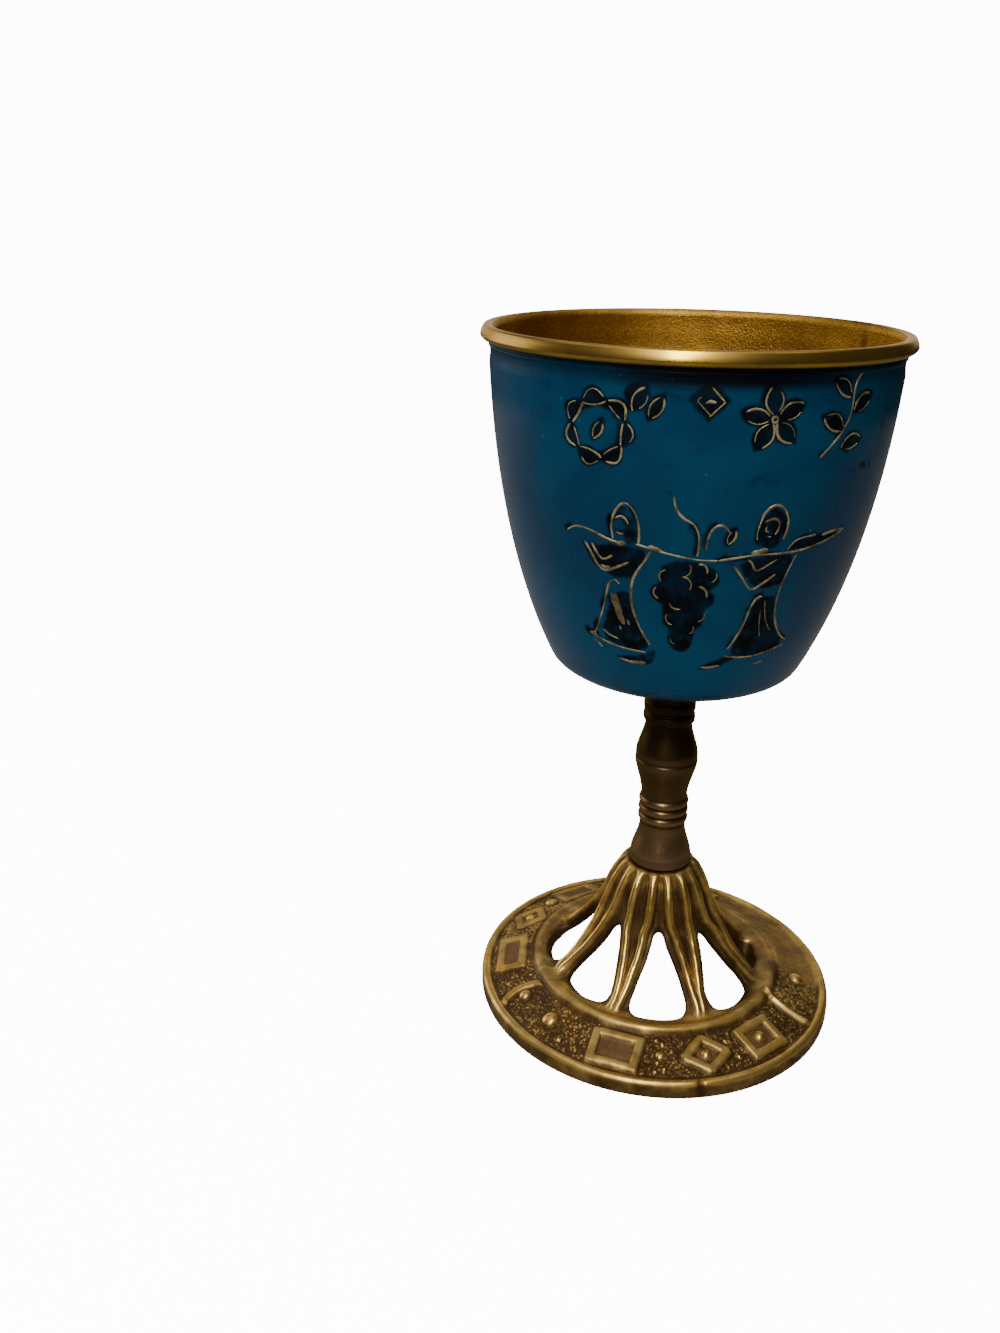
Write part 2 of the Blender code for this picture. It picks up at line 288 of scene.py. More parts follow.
def scaled(colour, factor):
    return wire(factor.id_data, 'VectorMath', {0: colour, 3: factor}, operation='SCALE').outputs[0]


def mapped(value, low, high, toLow=0.0, toHigh=1.0):
    return wire(value.id_data, 'MapRange', {0: value, 1: low, 2: high, 3: toLow, 4: toHigh},
                interpolation_type='SMOOTHSTEP').outputs[0]


def placeIn(tree):
    return wire(tree, 'TexCoord').outputs["Object"]


def noise(where, scale, detail, warp=0.0):
    return wire(where.id_data, 'TexNoise',
                {"Vector": where, "Scale": scale, "Detail": detail, "Distortion": warp}).outputs[0]


def cells(where, scale):
    return wire(where.id_data, 'TexVoronoi', {"Vector": where, "Scale": scale}).outputs


def makeSpeckGroup():
    # small round specks: near the middle of a cell, in the share of cells that a hash picks
    group, given, result = socketed("specks", {"Scale": 1000.0, "Radius": 0.2, "Share": 0.3}, {"Mask": 0.0})
    found = cells(placeIn(group), given["Scale"])
    pick, spread = wire(group, 'SeparateColor', {0: found["Color"]}).outputs[:2]
    inside = minus(times(given["Radius"], add(spread, 0.4)), found["Distance"])
    feed(result, {"Mask": times(calc('MULTIPLY', inside, 12.0, True), calc('LESS_THAN', pick, given["Share"]))})
    return group


def makeCloudGroup():
    # soft clouds from a warped noise, and a finer one beside them
    group, given, result = socketed("clouds", {"Scale": 100.0, "Detail": 4.0, "Warp": 0.5},
                                    {"Value": 0.0, "Fine": 0.0})
    where = placeIn(group)
    feed(result, {"Value": noise(where, given["Scale"], given["Detail"], given["Warp"]),
                  "Fine": noise(where, times(given["Scale"], 6.3), 3.0)})
    return group


def makeAgedGroup():
    # aged metal: bright where worn, dark where dirt stays, broken up by clouds and fine grain; the Wear And
    # Painted Light input also brings painted highlights and painted shade from some callers
    group, given, result = socketed("agedMetal", {
        "Wear And Painted Light": 0.5, "Bright": (0.5, 0.35, 0.12, 1), "Dark": (0.05, 0.03, 0.012, 1), "Cloud Scale": 160.0,
        "Grain Scale": 1800.0, "Break Up": 0.5, "Bright Roughness": 0.25, "Dark Roughness": 0.6,
        "Tint": (1.0, 1.0, 1.0, 1), "Grain Share": 0.16,
    }, {"Color": (0.0, 0.0, 0.0, 1), "Roughness": 0.0, "Mask": 0.0, "Height": 0.0})
    where = placeIn(group)
    cloud, grain = noise(where, given["Cloud Scale"], 5.0, 0.4), noise(where, given["Grain Scale"], 3.0)
    fine = times(minus(grain, 0.5), given["Grain Share"])
    shift = times(add(minus(cloud, 0.5), fine), given["Break Up"])
    mask = mapped(add(given["Wear And Painted Light"], shift), 0.02, 0.98)
    patch = noise(where, times(given["Cloud Scale"], 0.55), 2.0)
    tone = between(mask, given["Dark"], given["Bright"])
    tone = between(mapped(patch, 0.42, 0.62), tone, given["Tint"], 'MULTIPLY')
    rough = wire(group, 'MapRange', {0: mask, 3: given["Dark Roughness"], 4: given["Bright Roughness"]})
    feed(result, {"Color": scaled(tone, mapped(cloud, 0.3, 0.7, 0.78, 1.15)), "Mask": mask,
                  "Roughness": add(rough.outputs[0], times(fine, 1.4)), "Height": add(grain, times(cloud, 1.5))})
    return group


speckGroup, cloudGroup, agedGroup = makeSpeckGroup(), makeCloudGroup(), makeAgedGroup()


def grouped(tree, group, inputs):
    return wire(tree, 'Group', inputs, node_tree=group).outputs


def clouds(tree, scale, detail, warp):
    return grouped(tree, cloudGroup, {"Scale": scale, "Detail": detail, "Warp": warp})


def newMaterial(name, **fixed):
    material = bpy.data.materials.new(name)
    material.use_nodes = True
    shader = material.node_tree.nodes["Principled BSDF"]
    feed(shader, {label.replace("_", " "): value for label, value in fixed.items()})
    return material, material.node_tree, shader


def bumped(shader, height, strength, distance):
    feed(shader, {"Normal": wire(shader.id_data, 'Bump', {
        "Height": height, "Strength": strength, "Distance": distance}).outputs[0]})


def markOf(tree, label):
    return wire(tree, 'Attribute', attribute_name=label, attribute_type='GEOMETRY').outputs["Fac"]


enamelLook = {
    "deep": (0.0001, 0.0325, 0.0800, 1), "pale": (0.0002, 0.0490, 0.1010, 1), "ink": (0.0016, 0.0022, 0.0030, 1),
    "smear": (0.0010, 0.0180, 0.0420, 1), "shade": (0.0012, 0.0030, 0.0070, 1), "speck": (0.05, 0.15, 0.17, 1),
    "coatRoughness": 0.16, "paintedFloorLight": (0.076, 0.112, 1.45, 1.0), "dullTop": (0.124, 0.131),
}


def makeEnamel(look):
    # mottled and smeared, paler low down as painted light from the floor, darkened under the rim by the rimShade
    # mark as painted shade, with specks; the drawn shapes and the top are dull and bare
    material, tree, shader = newMaterial("enamel", Coat_Roughness=look["coatRoughness"], Coat_IOR=1.35,
                                         Specular_IOR_Level=0.07)
    broad, smears = clouds(tree, 42.0, 3.0, 0.8), clouds(tree, 95.0, 5.0, 1.6)
    specks = grouped(tree, speckGroup, {"Scale": 620.0, "Radius": 0.16, "Share": 0.22})["Mask"]
    level = wire(tree, 'SeparateXYZ', {0: placeIn(tree)}).outputs[2]
    tone = between(mapped(broad["Value"], 0.35, 0.65), look["deep"], look["pale"])
    tone = between(mapped(smears["Value"], 0.60, 0.76, 0.0, 0.65), tone, look["smear"])
    tone = between(markOf(tree, "rimShade"), scaled(tone, mapped(level, *look["paintedFloorLight"])), look["shade"])
    tone = between(times(specks, 0.35), tone, look["speck"])
    ink = mapped(add(markOf(tree, "ink"), times(minus(smears["Fine"], 0.5), 1.2)), 0.20, 0.95)
    tone = between(times(ink, mapped(broad["Fine"], 0.35, 0.7, 1.0, 0.78)), tone, look["ink"])
    bare = calc('MAXIMUM', ink, mapped(level, *look["dullTop"]))
    feed(shader, {"Base Color": tone, "Roughness": mapped(bare, 0.0, 1.0, 0.32, 0.6),
                  "Coat Weight": mapped(bare, 0.0, 0.9, 0.5, 0.03)})
    bumped(shader, add(clouds(tree, 260.0, 2.0, 0.0)["Value"], times(specks, 0.5)), 0.25, 0.00006)
    return material


rimLook = {
    "bright": (0.66, 0.42, 0.016, 1), "brown": (0.37, 0.225, 0.056, 1), "stainAndShade": (0.09, 0.032, 0.006, 1),
    "metal": 1.0, "wearAndPaintedLight": 0.66, "cloudScale": 80.0, "breakUp": 0.6, "roughness": 0.18, "grain": 0.008,
    "gritScale": 240.0, "rise": 1.0, "grainShare": 0.02, "edge": (1.0, 0.82, 0.58, 1),
}
insideLook = dict(rimLook, bright=(0.42, 0.225, 0.034, 1), brown=(0.23, 0.105, 0.010, 1), roughness=0.42,
                  grain=0.9, gritScale=430.0, rise=0.15, grainShare=0.16)
lineLook = dict(rimLook, bright=(0.40, 0.335, 0.165, 1), brown=(0.12, 0.088, 0.038, 1), metal=0.6, wearAndPaintedLight=0.56,
                cloudScale=420.0, breakUp=2.2, roughness=0.50, grain=0.5, grainShare=0.16,
                edge=(1.0, 1.0, 1.0, 1))
castLook = {
    "bright": (0.88, 0.575, 0.155, 1), "dark": (0.058, 0.029, 0.009, 1), "grime": (0.150, 0.086, 0.034, 1),
    "tint": (1.03, 0.93, 0.82, 1), "edge": (1.0, 0.76, 0.46, 1),
}
stemLook = {"bright": (0.30, 0.185, 0.085, 1), "dark": (0.020, 0.010, 0.003, 1), "edge": (1.0, 0.76, 0.45, 1)}
middleHeight = 1.25     # the middle of the aged metal's height


# aged gold: on the rim dulled by the tarnishAndPaintedLight mark, which also holds painted light; inside the
# bowl browned by the stainAndShade mark, which holds stains and a painted shade
def makeGilt(look, name, stained):
    # aged gold, dulled by the tarnish mark, or browned by the stain mark inside the bowl
    material, tree, shader = newMaterial(name, Metallic=look["metal"], Specular_Tint=look["edge"])
    aged = grouped(tree, agedGroup, {
        "Wear And Painted Light": look["wearAndPaintedLight"] if stained else minus(look["wearAndPaintedLight"], markOf(tree, "tarnishAndPaintedLight")),
        "Bright": look["bright"], "Dark": look["brown"], "Cloud Scale": look["cloudScale"],
        "Grain Scale": 1500.0, "Break Up": look["breakUp"], "Bright Roughness": look["roughness"],
        "Dark Roughness": look["roughness"] + 0.15, "Grain Share": look["grainShare"]})
    tone, rough = aged["Color"], aged["Roughness"]
    if stained:
        mark = mapped(add(markOf(tree, "stainAndShade"), times(minus(aged["Height"], middleHeight), 0.25)), 0.12, 0.85)
        tone, rough = between(mark, tone, look["stainAndShade"]), add(rough, times(mark, 0.2))
    feed(shader, {"Base Color": tone, "Roughness": rough})
    grit = clouds(tree, look["gritScale"], 3.0, 0.3)["Fine"]
    bumped(shader, add(grit, times(aged["Height"], look["rise"])), look["grain"], 0.0002)
    return material


def makeCastBrass(look):
    # cast metal: pebbled where the stipple mark is, brown in the dirt that the grime mark gives
    material, tree, shader = newMaterial("castBrass", Specular_Tint=look["edge"], Specular_IOR_Level=0.35)
    pebble = mapped(cells(placeIn(tree), 1500.0)["Distance"], 0.12, 0.62, 1.0, 0.0)
    ground = times(minus(pebble, 0.42), markOf(tree, "stipple"))
    aged = grouped(tree, agedGroup, {
        "Wear And Painted Light": add(markOf(tree, "wearAndPaintedLight"), times(ground, 0.38)), "Bright": look["bright"], "Dark": look["dark"],
        "Cloud Scale": 260.0, "Grain Scale": 1200.0, "Break Up": 0.5, "Bright Roughness": 0.27,
        "Dark Roughness": 0.48, "Tint": look["tint"], "Grain Share": 0.05})
    grime = markOf(tree, "grime")
    feed(shader, {"Base Color": between(times(grime, 0.8), aged["Color"], look["grime"]),
                  "Roughness": add(aged["Roughness"], times(grime, 0.15)),
                  "Metallic": mapped(aged["Mask"], 0.1, 0.8, 0.45, 1.0)})
    rest = times(minus(aged["Height"], middleHeight), mapped(aged["Mask"], 0.1, 0.5, 0.7, 0.2))
    bumped(shader, add(rest, times(ground, 0.9)), 0.8, 0.00012)
    return material


def makeDarkBrass(look):
    # turned metal, with fine rings across its height
    material, tree, shader = newMaterial("darkBrass", Metallic=0.9, Specular_Tint=look["edge"])
    aged = grouped(tree, agedGroup, {
        "Wear And Painted Light": markOf(tree, "wearAndPaintedLight"), "Bright": look["bright"], "Dark": look["dark"], "Cloud Scale": 60.0,
        "Grain Scale": 1700.0, "Break Up": 0.12, "Bright Roughness": 0.29, "Dark Roughness": 0.42})
    feed(shader, {"Base Color": aged["Color"], "Roughness": aged["Roughness"]})
    turned = wire(tree, 'Mapping', {"Vector": placeIn(tree), "Scale": (60.0, 60.0, 6500.0)})
    bumped(shader, add(noise(turned.outputs[0], 1.0, 2.0), times(aged["Height"], 0.3)), 0.06, 0.00005)
    return material


enamel, castBrass, darkBrass = makeEnamel(enamelLook), makeCastBrass(castLook), makeDarkBrass(stemLook)
giltRim = makeGilt(rimLook, "giltRim", False)
giltInside = makeGilt(insideLook, "giltInside", True)
goldLine = makeGilt(lineLook, "goldLine", False)
print("materials made")


# Bowl: an enamelled shell, and a gilt lining that rolls over its edge as the rim

bowlShape = {
    "wall": 1.0, "lip": (37.4, 136.5), "corner": (24.5, 78.0), "seat": (6.1, 70.4),
    "beadCentre": (37.65, 138.6), "beadRadius": 1.4, "floorRadius": 9.0,
    "frontColumns": (-133.0, -21.0, 0.5), "backColumns": (70.0, 110.0, 0.8), "sideStep": 2.6,
    "drawnTo": 84.0, "neckFoot": 134.2, "floor": 73.03,
    # smudges of ink outside: angle, height, half width and half height in millimetres, and strength
    "smudges": [(-37.0, 120.2, 4.2, 1.6, 0.62), (-34.5, 121.6, 2.6, 1.0, 0.5), (-29.5, 128.5, 1.2, 8.0, 0.55),
                (-118.0, 88.0, 1.8, 1.0, 0.35)],
    # brown stains inside, the last and widest a painted shade on the inside's left: angle, height, half sizes in
    # degrees and millimetres, and strength
    "stainsAndShade": [(27.5, 136.2, 2.2, 3.0, 0.62), (45.5, 136.4, 1.7, 0.9, 0.34), (67.0, 135.6, 2.0, 1.2, 0.26),
               (123.0, 134.6, 3.0, 2.0, 0.30), (152.0, 132.0, 9.0, 3.0, 0.30)],
}


def bowlOutline(shape):
    # outside of the bowl from below the bead to its seat: a neck with a fine raised line, a long
    # side and a shallow base, each side a cubic curve
    side = bezier(shape["lip"], (36.3, 112.4), (31.8, 92.9), shape["corner"], 200)
    base = bezier(shape["corner"], (22.4, 73.7), (12.5, 73.8), shape["seat"], 60)
    neck = softened([(37.3, 137.35), (37.15, 137.0), (37.16, 136.75), (37.42, 136.45), (37.42, 136.2),
                     (37.16, 135.95), (37.1, 135.2), (37.1, 134.6), (37.17, 134.2)], 2)
    return np.vstack([neck, side[side[:, 1] < 133.6], base[1:]])


bowlSide = bowlOutline(bowlShape)


def wallRadius(z):
    return np.interp(-np.asarray(z, float), -bowlSide[:, 1], bowlSide[:, 0])


def bowlColumns(shape):
    # angles round the bowl: close together behind the decoration, wide apart elsewhere
    f0, f1, fine = shape["frontColumns"]
    b0, b1, coarse = shape["backColumns"]

    def even(start, end, step):
        return np.linspace(start, end, 2 * int(round((end - start) / step / 2)), endpoint=False)
    return np.concatenate([even(f0, f1, fine), even(f1, b0, shape["sideStep"]), even(b0, b1, coarse),
                           even(b1, f0 + 360, shape["sideStep"])])


# Decoration: every stroke is a line on the wall in (angle, height), with a width in millimetres

def onWall(place, points):
    # local millimetres (to the right, up) about a place (angle, height) turned into (angle, height)
    points = np.array(points, float)
    z = place[1] + points[:, 1]
    return np.stack([place[0] + np.degrees(points[:, 0] / wallRadius(z)), z], 1)


leafSide = 26       # points along each side of a leaf


def leaf(x, y, length, width, lean, bend=0.0):
    # outline of a leaf: two arcs of width * sin^0.8 about a bowed middle line, pointed at both ends
    t = np.linspace(0, 1, leafSide)
    swell = 0.5 * width * np.sin(math.pi * t) ** 0.8
    bow = bend * (1 - (2 * t - 1) ** 2)
    along = (t - 0.5) * length
    outline = np.vstack([np.stack([along, bow + swell], 1), np.stack([along, bow - swell], 1)[-2:0:-1]])
    turn = math.radians(lean)
    spin = np.array([[math.cos(turn), math.sin(turn)], [-math.sin(turn), math.cos(turn)]])
    return outline @ spin + (x, y)


def ring(x, y, halfWidth, halfHeight, start=0.0, end=360.0, count=22):
    turn = np.radians(np.linspace(start, end, count))
    return np.stack([x + halfWidth * np.cos(turn), y + halfHeight * np.sin(turn)], 1)


goldStrokes, inkShapes = [], []       # (line in angle and height, width), (outline, strength)


def gold(place, points, width=0.5, closed=False, smooth=True):
    goldStrokes.append((onWall(place, softened(points, 3) if smooth else points), width, closed))


def inked(place, points, strength=1.0):
    inkShapes.append((onWall(place, softened(np.vstack([points, points[:1]]), 2)[:-1]), strength))


def inkedLeaf(place, x, y, length, breadth, lean, bend=0.0, width=0.42):
    # a leaf of black that reaches past its gold: a line along one side, a finer and shorter one
    # along the other, and by turns the finer one above or below
    turn = len(inkShapes)
    outline = leaf(x, y, length, breadth, lean, bend)
    sides = [outline[:leafSide], np.vstack([outline[leafSide - 1:], outline[:1]])]
    strong, fine = sides if turn % 2 else sides[::-1]
    gold(place, strong[turn % 3:leafSide - turn * 5 % 4], width)
    gold(place, fine[2 + turn * 3 % 6:leafSide - 2 - turn * 7 % 5], 0.62 * width)
    inkShapes.append((onWall(place, leaf(x - 0.12, y + 0.12, length + 0.7, breadth + 0.75, lean, bend)), 1.0))


# Two robed bearers of the builder's own drawing, a pole on their shoulders, a bunch of grapes between.
# A gold line is its width, then x and y of each point, and a black shape its strength, then x and y

leftLines = [
    (0.46, -1.5, 108.4, -1.9, 110.6, -1.2, 113.2, 0.3, 115, 1.9, 114.2, 2.9, 112, 3.1, 109.8, 2.9, 107.8),
    (0.5, -1, 112, -0.2, 112.6, 0.8, 112.1, 1.2, 111.2),
    (0.36, -0.9, 109.6, -0.2, 109.2, 0.4, 109.4),
    (0.5, -7, 107, -5.6, 105, -4.6, 103, -3.2, 101.9, -1.2, 103, 1.3, 104.4),
    (0.45, -5.6, 107, -4.6, 105.2, -3.8, 104.2, -2.9, 104.3, -1.7, 105.2),
    (0.8, -3.9, 103.1, -3, 102.6, -2.1, 102.9),
    (0.46, 5, 106.9, 4.2, 105.3, 2.6, 103, 1.6, 100.8, 1.3, 98, 1.6, 95, 2.6, 91.8, 4.2, 88.6),
    (0.36, -0.6, 100, -1.5, 100.9, -2.6, 99.9, -3.2, 97.4, -4.2, 93.8, -5.4, 90.4, -6.2, 88.9),
    (0.38, -7.2, 89, -5.4, 88.3, -2.6, 87.4, 0.4, 87, 3.4, 86.9),
    (0.34, -6.6, 87.9, -5.4, 87, -4.8, 86.4),
    (1.1, -7, 89.2, -6.2, 88.9, -5.6, 88.7),
    (1.2, -2.1, 98, -1.6, 96.6, -1.3, 95, -0.8, 93.6, -0.2, 92.2),
    (0.4, -1.5, 98.4, -1, 96.4, -0.5, 94.6),
    (0.55, 0.5, 93.2, 0.8, 92.2),
    (0.4, -1, 91.8, -0.9, 91),
    (0.26, -4.4, 90.4, -3, 89.3, -1.4, 88.9),
    (0.7, -1.6, 84.7, 0.6, 84.3, 3.2, 84.5),
]
leftShapes = [
    (0.75, 0.9, 112.8, 2.4, 112, 2.8, 109.6, 2.6, 107.6, 0.8, 107.4, 0.2, 109.4, 0.9, 111.2),
    (0.6, -1.5, 111, -0.9, 113.3, 0.4, 114.6, 1.7, 113.6, 0.2, 113.1, -0.8, 111.6),
    (0.95, -6.2, 106.2, -2, 107.2, 2.4, 107.2, 4.4, 106.4, 2.7, 103.6, 1.5, 101.2, -1.8, 101.4, -4, 102.6),
    (0.95, -1.8, 97.8, -0.2, 98.8, 1.2, 98.6, 1.5, 95, 2.6, 91.6, 4, 88.4, 3, 87.3, -0.2, 87.4, -4.6, 88.6,
     -3.6, 93),
    (0.9, -2.2, 85.2, 1.2, 85.7, 4.2, 87, 5, 87.6, 4.6, 85.2, 3.4, 84.1, -1.2, 84.2),
]
rightLines = [
    (0.5, -2.1, 112.2, -1.7, 114, -0.2, 115.5, 1.6, 115, 2.8, 113.2, 3.1, 111.2, 2.6, 109.2),
    (0.3, -2.2, 109.4, -2.4, 110.8, -2.1, 112.2),
    (0.4, -1.3, 112.4, 0, 113.1, 1.2, 112.6, 1.5, 111.4, 0.9, 110.2),
    (0.34, -0.8, 111.7, -1.1, 110.9, -0.5, 110.7),
    (0.3, -0.5, 109.9, 0.1, 109.8),
    (0.46, -5.4, 104.8, -4, 103.2, -2.6, 101.2, -1.4, 99.9, 0.4, 101.2, 2.5, 102.8),
    (0.4, -3.1, 105.8, -2.2, 105.2, -1.4, 103.4, 0.2, 104.3, 2.2, 105.6),
    (0.42, 5.9, 106.2, 4.9, 103.4, 4.2, 100.8, 3.9, 98, 4.2, 95, 5.4, 92, 7.2, 89.7, 8.6, 88.9),
    (0.4, 0.9, 98.8, -0.1, 98.5, -0.8, 96.8, -1.2, 93.6, -2, 90.8, -3, 88.4),
    (0.38, -3.4, 86.9, -1.4, 86.4, 1.6, 86.3, 5, 86.9, 8.2, 87.8),
    (0.24, 1.6, 98, 2.2, 95.4, 2.8, 93.6, 4.2, 91.6),
    (0.2, 1.2, 96.2, 1.6, 93.2, 2.4, 90.6),
    (0.46, -6.9, 84.5, -5.4, 84.3, -3.6, 84.8),
    (0.3, 2.6, 84.9, 3.4, 84.4, 4.6, 85),
]
rightShapes = [
    (0.85, -2.6, 108.8, -2.7, 111.6, -1.6, 114, 0.2, 115.2, 2.4, 113.6, 2.9, 111, 2, 108.4, 0.4, 107.6,
     -1.2, 108.2),
    (0.95, -4.4, 104.9, 0, 106.6, 5.5, 106.3, 4.6, 103.2, 4, 100.6, -0.2, 100.4, -2.2, 101.6),
    (0.95, -0.2, 97.8, 1.8, 98.8, 3.8, 98.2, 3.9, 95, 5.1, 92, 7.8, 88.6, 6.6, 87.4, 2.6, 86.5, -2.6, 86.8,
     -1.8, 90.6, -1, 93.8),
    (0.9, -7.2, 84.2, -5.2, 85.6, -2.6, 86.9, -1.2, 86.4, -2, 85.4, -5, 84),
]
poleLines = [
    (0.46, -20.2, 108.4, -18.8, 109.4, -16.4, 109.4, -14, 108.6, -11.8, 107.9, -10.4, 107.7),
    (0.34, -7.4, 107.8, -5.4, 107.4, -2.6, 106.7, 0.6, 106.1, 3.4, 105.7, 6.2, 105.7),
    (0.4, 6.2, 105.7, 9.4, 106.2, 12.6, 106.7, 16, 106.6, 20.4, 106.7, 24, 107.3, 27.4, 108, 30.8, 109.2),
    (1.1, -10.6, 107.6, -9.9, 107.5, -9.2, 107.9),
    (0.9, -5.4, 107.5, -4.2, 107.4, -3, 107),
    (1.3, 11.8, 106.9, 13, 107.1, 14.6, 107.5),
    (0.4, 18.4, 107.2, 19.6, 108.8, 21.8, 109.2, 24, 109.3),
    (0.46, 25.4, 109, 27.6, 109.4, 31, 109.4),
    (0.46, -1.6, 116.9, -1.3, 114.8, 0, 113, 1.9, 112.2, 2.9, 110.4, 3, 108.2, 2.8, 106.4),
    (0.46, 4.2, 107.7, 4.3, 110, 5.3, 111.8, 6.7, 112.1, 7.8, 110.8),
]
poleShapes = [
    (0.95, 18.2, 106.9, 19.6, 108.9, 24, 109.3, 30.2, 109.4, 27, 108, 23.6, 107.3),
    (0.8, 7.4, 106.4, 12, 107, 12, 106, 7.4, 105.5),
]
grapeShapes = [
    (0.55, 2.2, 108.8, 2.6, 111, 1.2, 112.2, 0.4, 111.6, 1.8, 110.2),
    (0.95, -2.6, 104.4, -0.4, 105.5, 2.6, 105.3, 5.4, 104.6, 6.8, 102.8, 6.3, 100.8, 4.4, 99.6, 1.2, 99,
     -2.2, 99.6, -3.4, 101.4),
    (0.95, -3.4, 101.2, -0.6, 101.8, 3.4, 101, 5.9, 99.6, 6.1, 97.6, 4.4, 96.2, 4.6, 94.4, 3.9, 92.6, 1.4, 91.8,
     -1.4, 92.4, -2.4, 94.6, -2.1, 96.8, -4.2, 98.2, -4.6, 99.8),
    (0.95, -1.2, 92.6, 2.2, 93, 3.3, 91.4, 2.6, 88.6, 1.2, 87.7, -0.4, 88.4, -1, 90.2),
]
grapes = [   # x, y, radius, from and to angle, width of the line
    (0.6, 104, 1.4, -60, 45, 0.36),
    (3.5, 103.8, 1.2, -20, 110, 0.42), (5, 102.9, 1.3, -70, 30, 0.26), (-1.9, 102.4, 1.3, 100, 220, 0.26),
    (0.6, 101, 1.6, -30, 90, 0.5), (-2.7, 99.4, 1.3, 130, 250, 0.24), (3.2, 99.2, 1.7, -10, 85, 0.42),
    (0.2, 97.8, 1.5, 190, 290, 0.3), (3.4, 95.4, 1.4, -75, 20, 0.3), (-0.2, 94.6, 1.5, 150, 255, 0.26),
    (1.9, 92.6, 1.2, -60, 30, 0.24), (0.2, 90.2, 0.9, 160, 260, 0.24),
]


def drawn(place, lines, shapes):
    for width, *points in lines:
        gold(place, np.reshape(points, (-1, 2)), width)
    for strength, *points in shapes:
        inked(place, np.reshape(points, (-1, 2)), strength)


def drawBearers():
    pole = (-90.0, 0.0)
    drawn((-106.5, 0.0), leftLines, leftShapes)
    drawn((-65.5, 0.0), rightLines, rightShapes)
    drawn(pole, poleLines, poleShapes)
    inkedLeaf(pole, 8.2, 109.9, 2.8, 1.2, 66, width=0.4)
    for x, y, size, start, end, width in grapes:
        gold(pole, ring(x, y, size, size, start, end, 9), width)
    drawn(pole, [], grapeShapes)


def drawBand():
    # five plain ornaments in a row under the rim: wreath, pair of leaves, lozenge, flower, sprig
    wreath = (-113.1, 126.7)
    for turn, breadth in ((98, 2.6), (44, 2.1), (-6, 2.0), (-57, 2.3), (-108, 2.5), (-160, 2.1), (149, 2.3)):
        a = math.radians(turn)
        inkedLeaf(wreath, 4.4 * math.cos(a), 4.3 * math.sin(a), 4.3, breadth, turn - 90, 0.8)
    inked(wreath, np.vstack([ring(0, 0, 4.9, 4.8, -100, 150), ring(0, 0, 3.7, 3.6, -100, 150)[::-1]]), 0.9)
    inkedLeaf(wreath, 0.1, -0.2, 3.4, 1.5, 62)
    pair = (-100.1, 131.5)
    inkedLeaf(pair, -1.3, 0.5, 4.4, 2.2, 60)
    inkedLeaf(pair, 1.4, -0.7, 4.2, 2.0, 60)
    inked(pair, ring(-1.7, 1.3, 2.1, 1.7)[:-1], 0.95)
    lozenge = (-85.1, 132.1)
    diamond = [(0, 2.3), (2.2, 0), (0, -2.3), (-2.2, 0)]
    gold(lozenge, diamond[:3], 0.4, smooth=False)
    gold(lozenge, [(0.2, -2.2), (-2.1, 0.1), (-1.4, 0.9)], 0.3, smooth=False)
    gold(lozenge, [(-0.8, -0.2), (0.0, 0.15), (0.8, -0.1)], 0.7)
    inkShapes.append((onWall(lozenge, np.array(diamond) * 1.45 + (-0.2, 0.2)), 1.0))
    flower = (-69.0, 129.4)
    for k, breadth in enumerate((2.9, 2.4, 2.9, 2.6, 2.5)):
        turn, a = 98 + 72 * k, math.radians(98 + 72 * k)
        inkedLeaf(flower, 3.0 * math.cos(a), 3.0 * math.sin(a), 4.7, breadth, turn)
    gold(flower, ring(0, 0, 0.5, 0.5), 0.5, closed=True, smooth=False)
    sprig = (-47.6, 129.1)
    gold(sprig, [(2.2, 7.0), (0.6, 4.4), (1.1, 1.2), (0.1, -1.8), (-2.3, -4.4), (-4.4, -6.3)], 0.46)
    for leafShape in ((-1.7, 4.7, 4.6, 2.3, -40), (3.5, 2.0, 4.9, 2.5, 32), (-2.7, -0.9, 5.0, 2.6, -28),
                      (2.2, -4.4, 4.9, 2.4, 14)):
        inkedLeaf(sprig, *leafShape, 0.3)
    for place in (wreath, flower, sprig):
        inked(place, ring(0, 0, 1.1, 1.1)[:-1], 0.5)


def drawBack():
    # a plain sprig on the far side
    back = (90.0, 118.0)
    gold(back, [(-7.5, -3.0), (-4.0, -0.8), (0.0, -1.6), (4.0, 0.6), (7.5, 2.6)], 0.5)
    for x, y, lean in ((-5.0, 1.6, 65), (-1.4, -4.0, -58), (2.0, 2.4, 62), (5.6, -1.4, -40)):
        inkedLeaf(back, x, y, 4.8, 2.2, lean)


drawBand()
drawBearers()
drawBack()


def inkMark(angles, heights, smudges):
    # how black the ground is at each place: 1 in the filled shapes, a soft margin along the lines
    flat = np.stack([angles, heights], 1)
    scale = np.radians(1.0) * wallRadius(heights)
    amount = np.zeros(len(flat))
    patchy = 0.15 + 0.85 * ease(mottle(angles / 4.6, heights / 3.1, 17), 0.25, 0.8)
    for outline, strength in inkShapes:
        amount = np.maximum(amount, strength * inkNear(flat, outline, True))
    for line, width, _ in goldStrokes:
        if width > 0.3:
            amount = np.maximum(amount, patchy * inkNear(flat, line + (-0.6, 0.25), False, 0.5 * width))
    for place, high, wide, tall, strength in smudges:
        smudge = np.hypot((angles - place) * scale / wide, (heights - high) / tall)
        amount = np.maximum(amount, strength * fade(smudge, 0.1, 1.5))
    return amount


def inkNear(flat, shape, filled, reach=0.0):
    # the shape's own part of the wall only, measured in millimetres at its middle height
    low, high = shape.min(0) - (3.0, 1.5), shape.max(0) + (3.0, 1.5)
    near = np.all((flat > low) & (flat < high), axis=1)
    amount = np.zeros(len(flat))
    if near.any():
        scale = (np.radians(1.0) * wallRadius(0.5 * (low[1] + high[1])), 1.0)
        gap = lineGap(flat[near] * scale, shape * scale, filled)
        amount[near] = fade(gap, -0.4, 0.8) if filled else fade(gap - reach, -0.2, 0.9)
    return amount


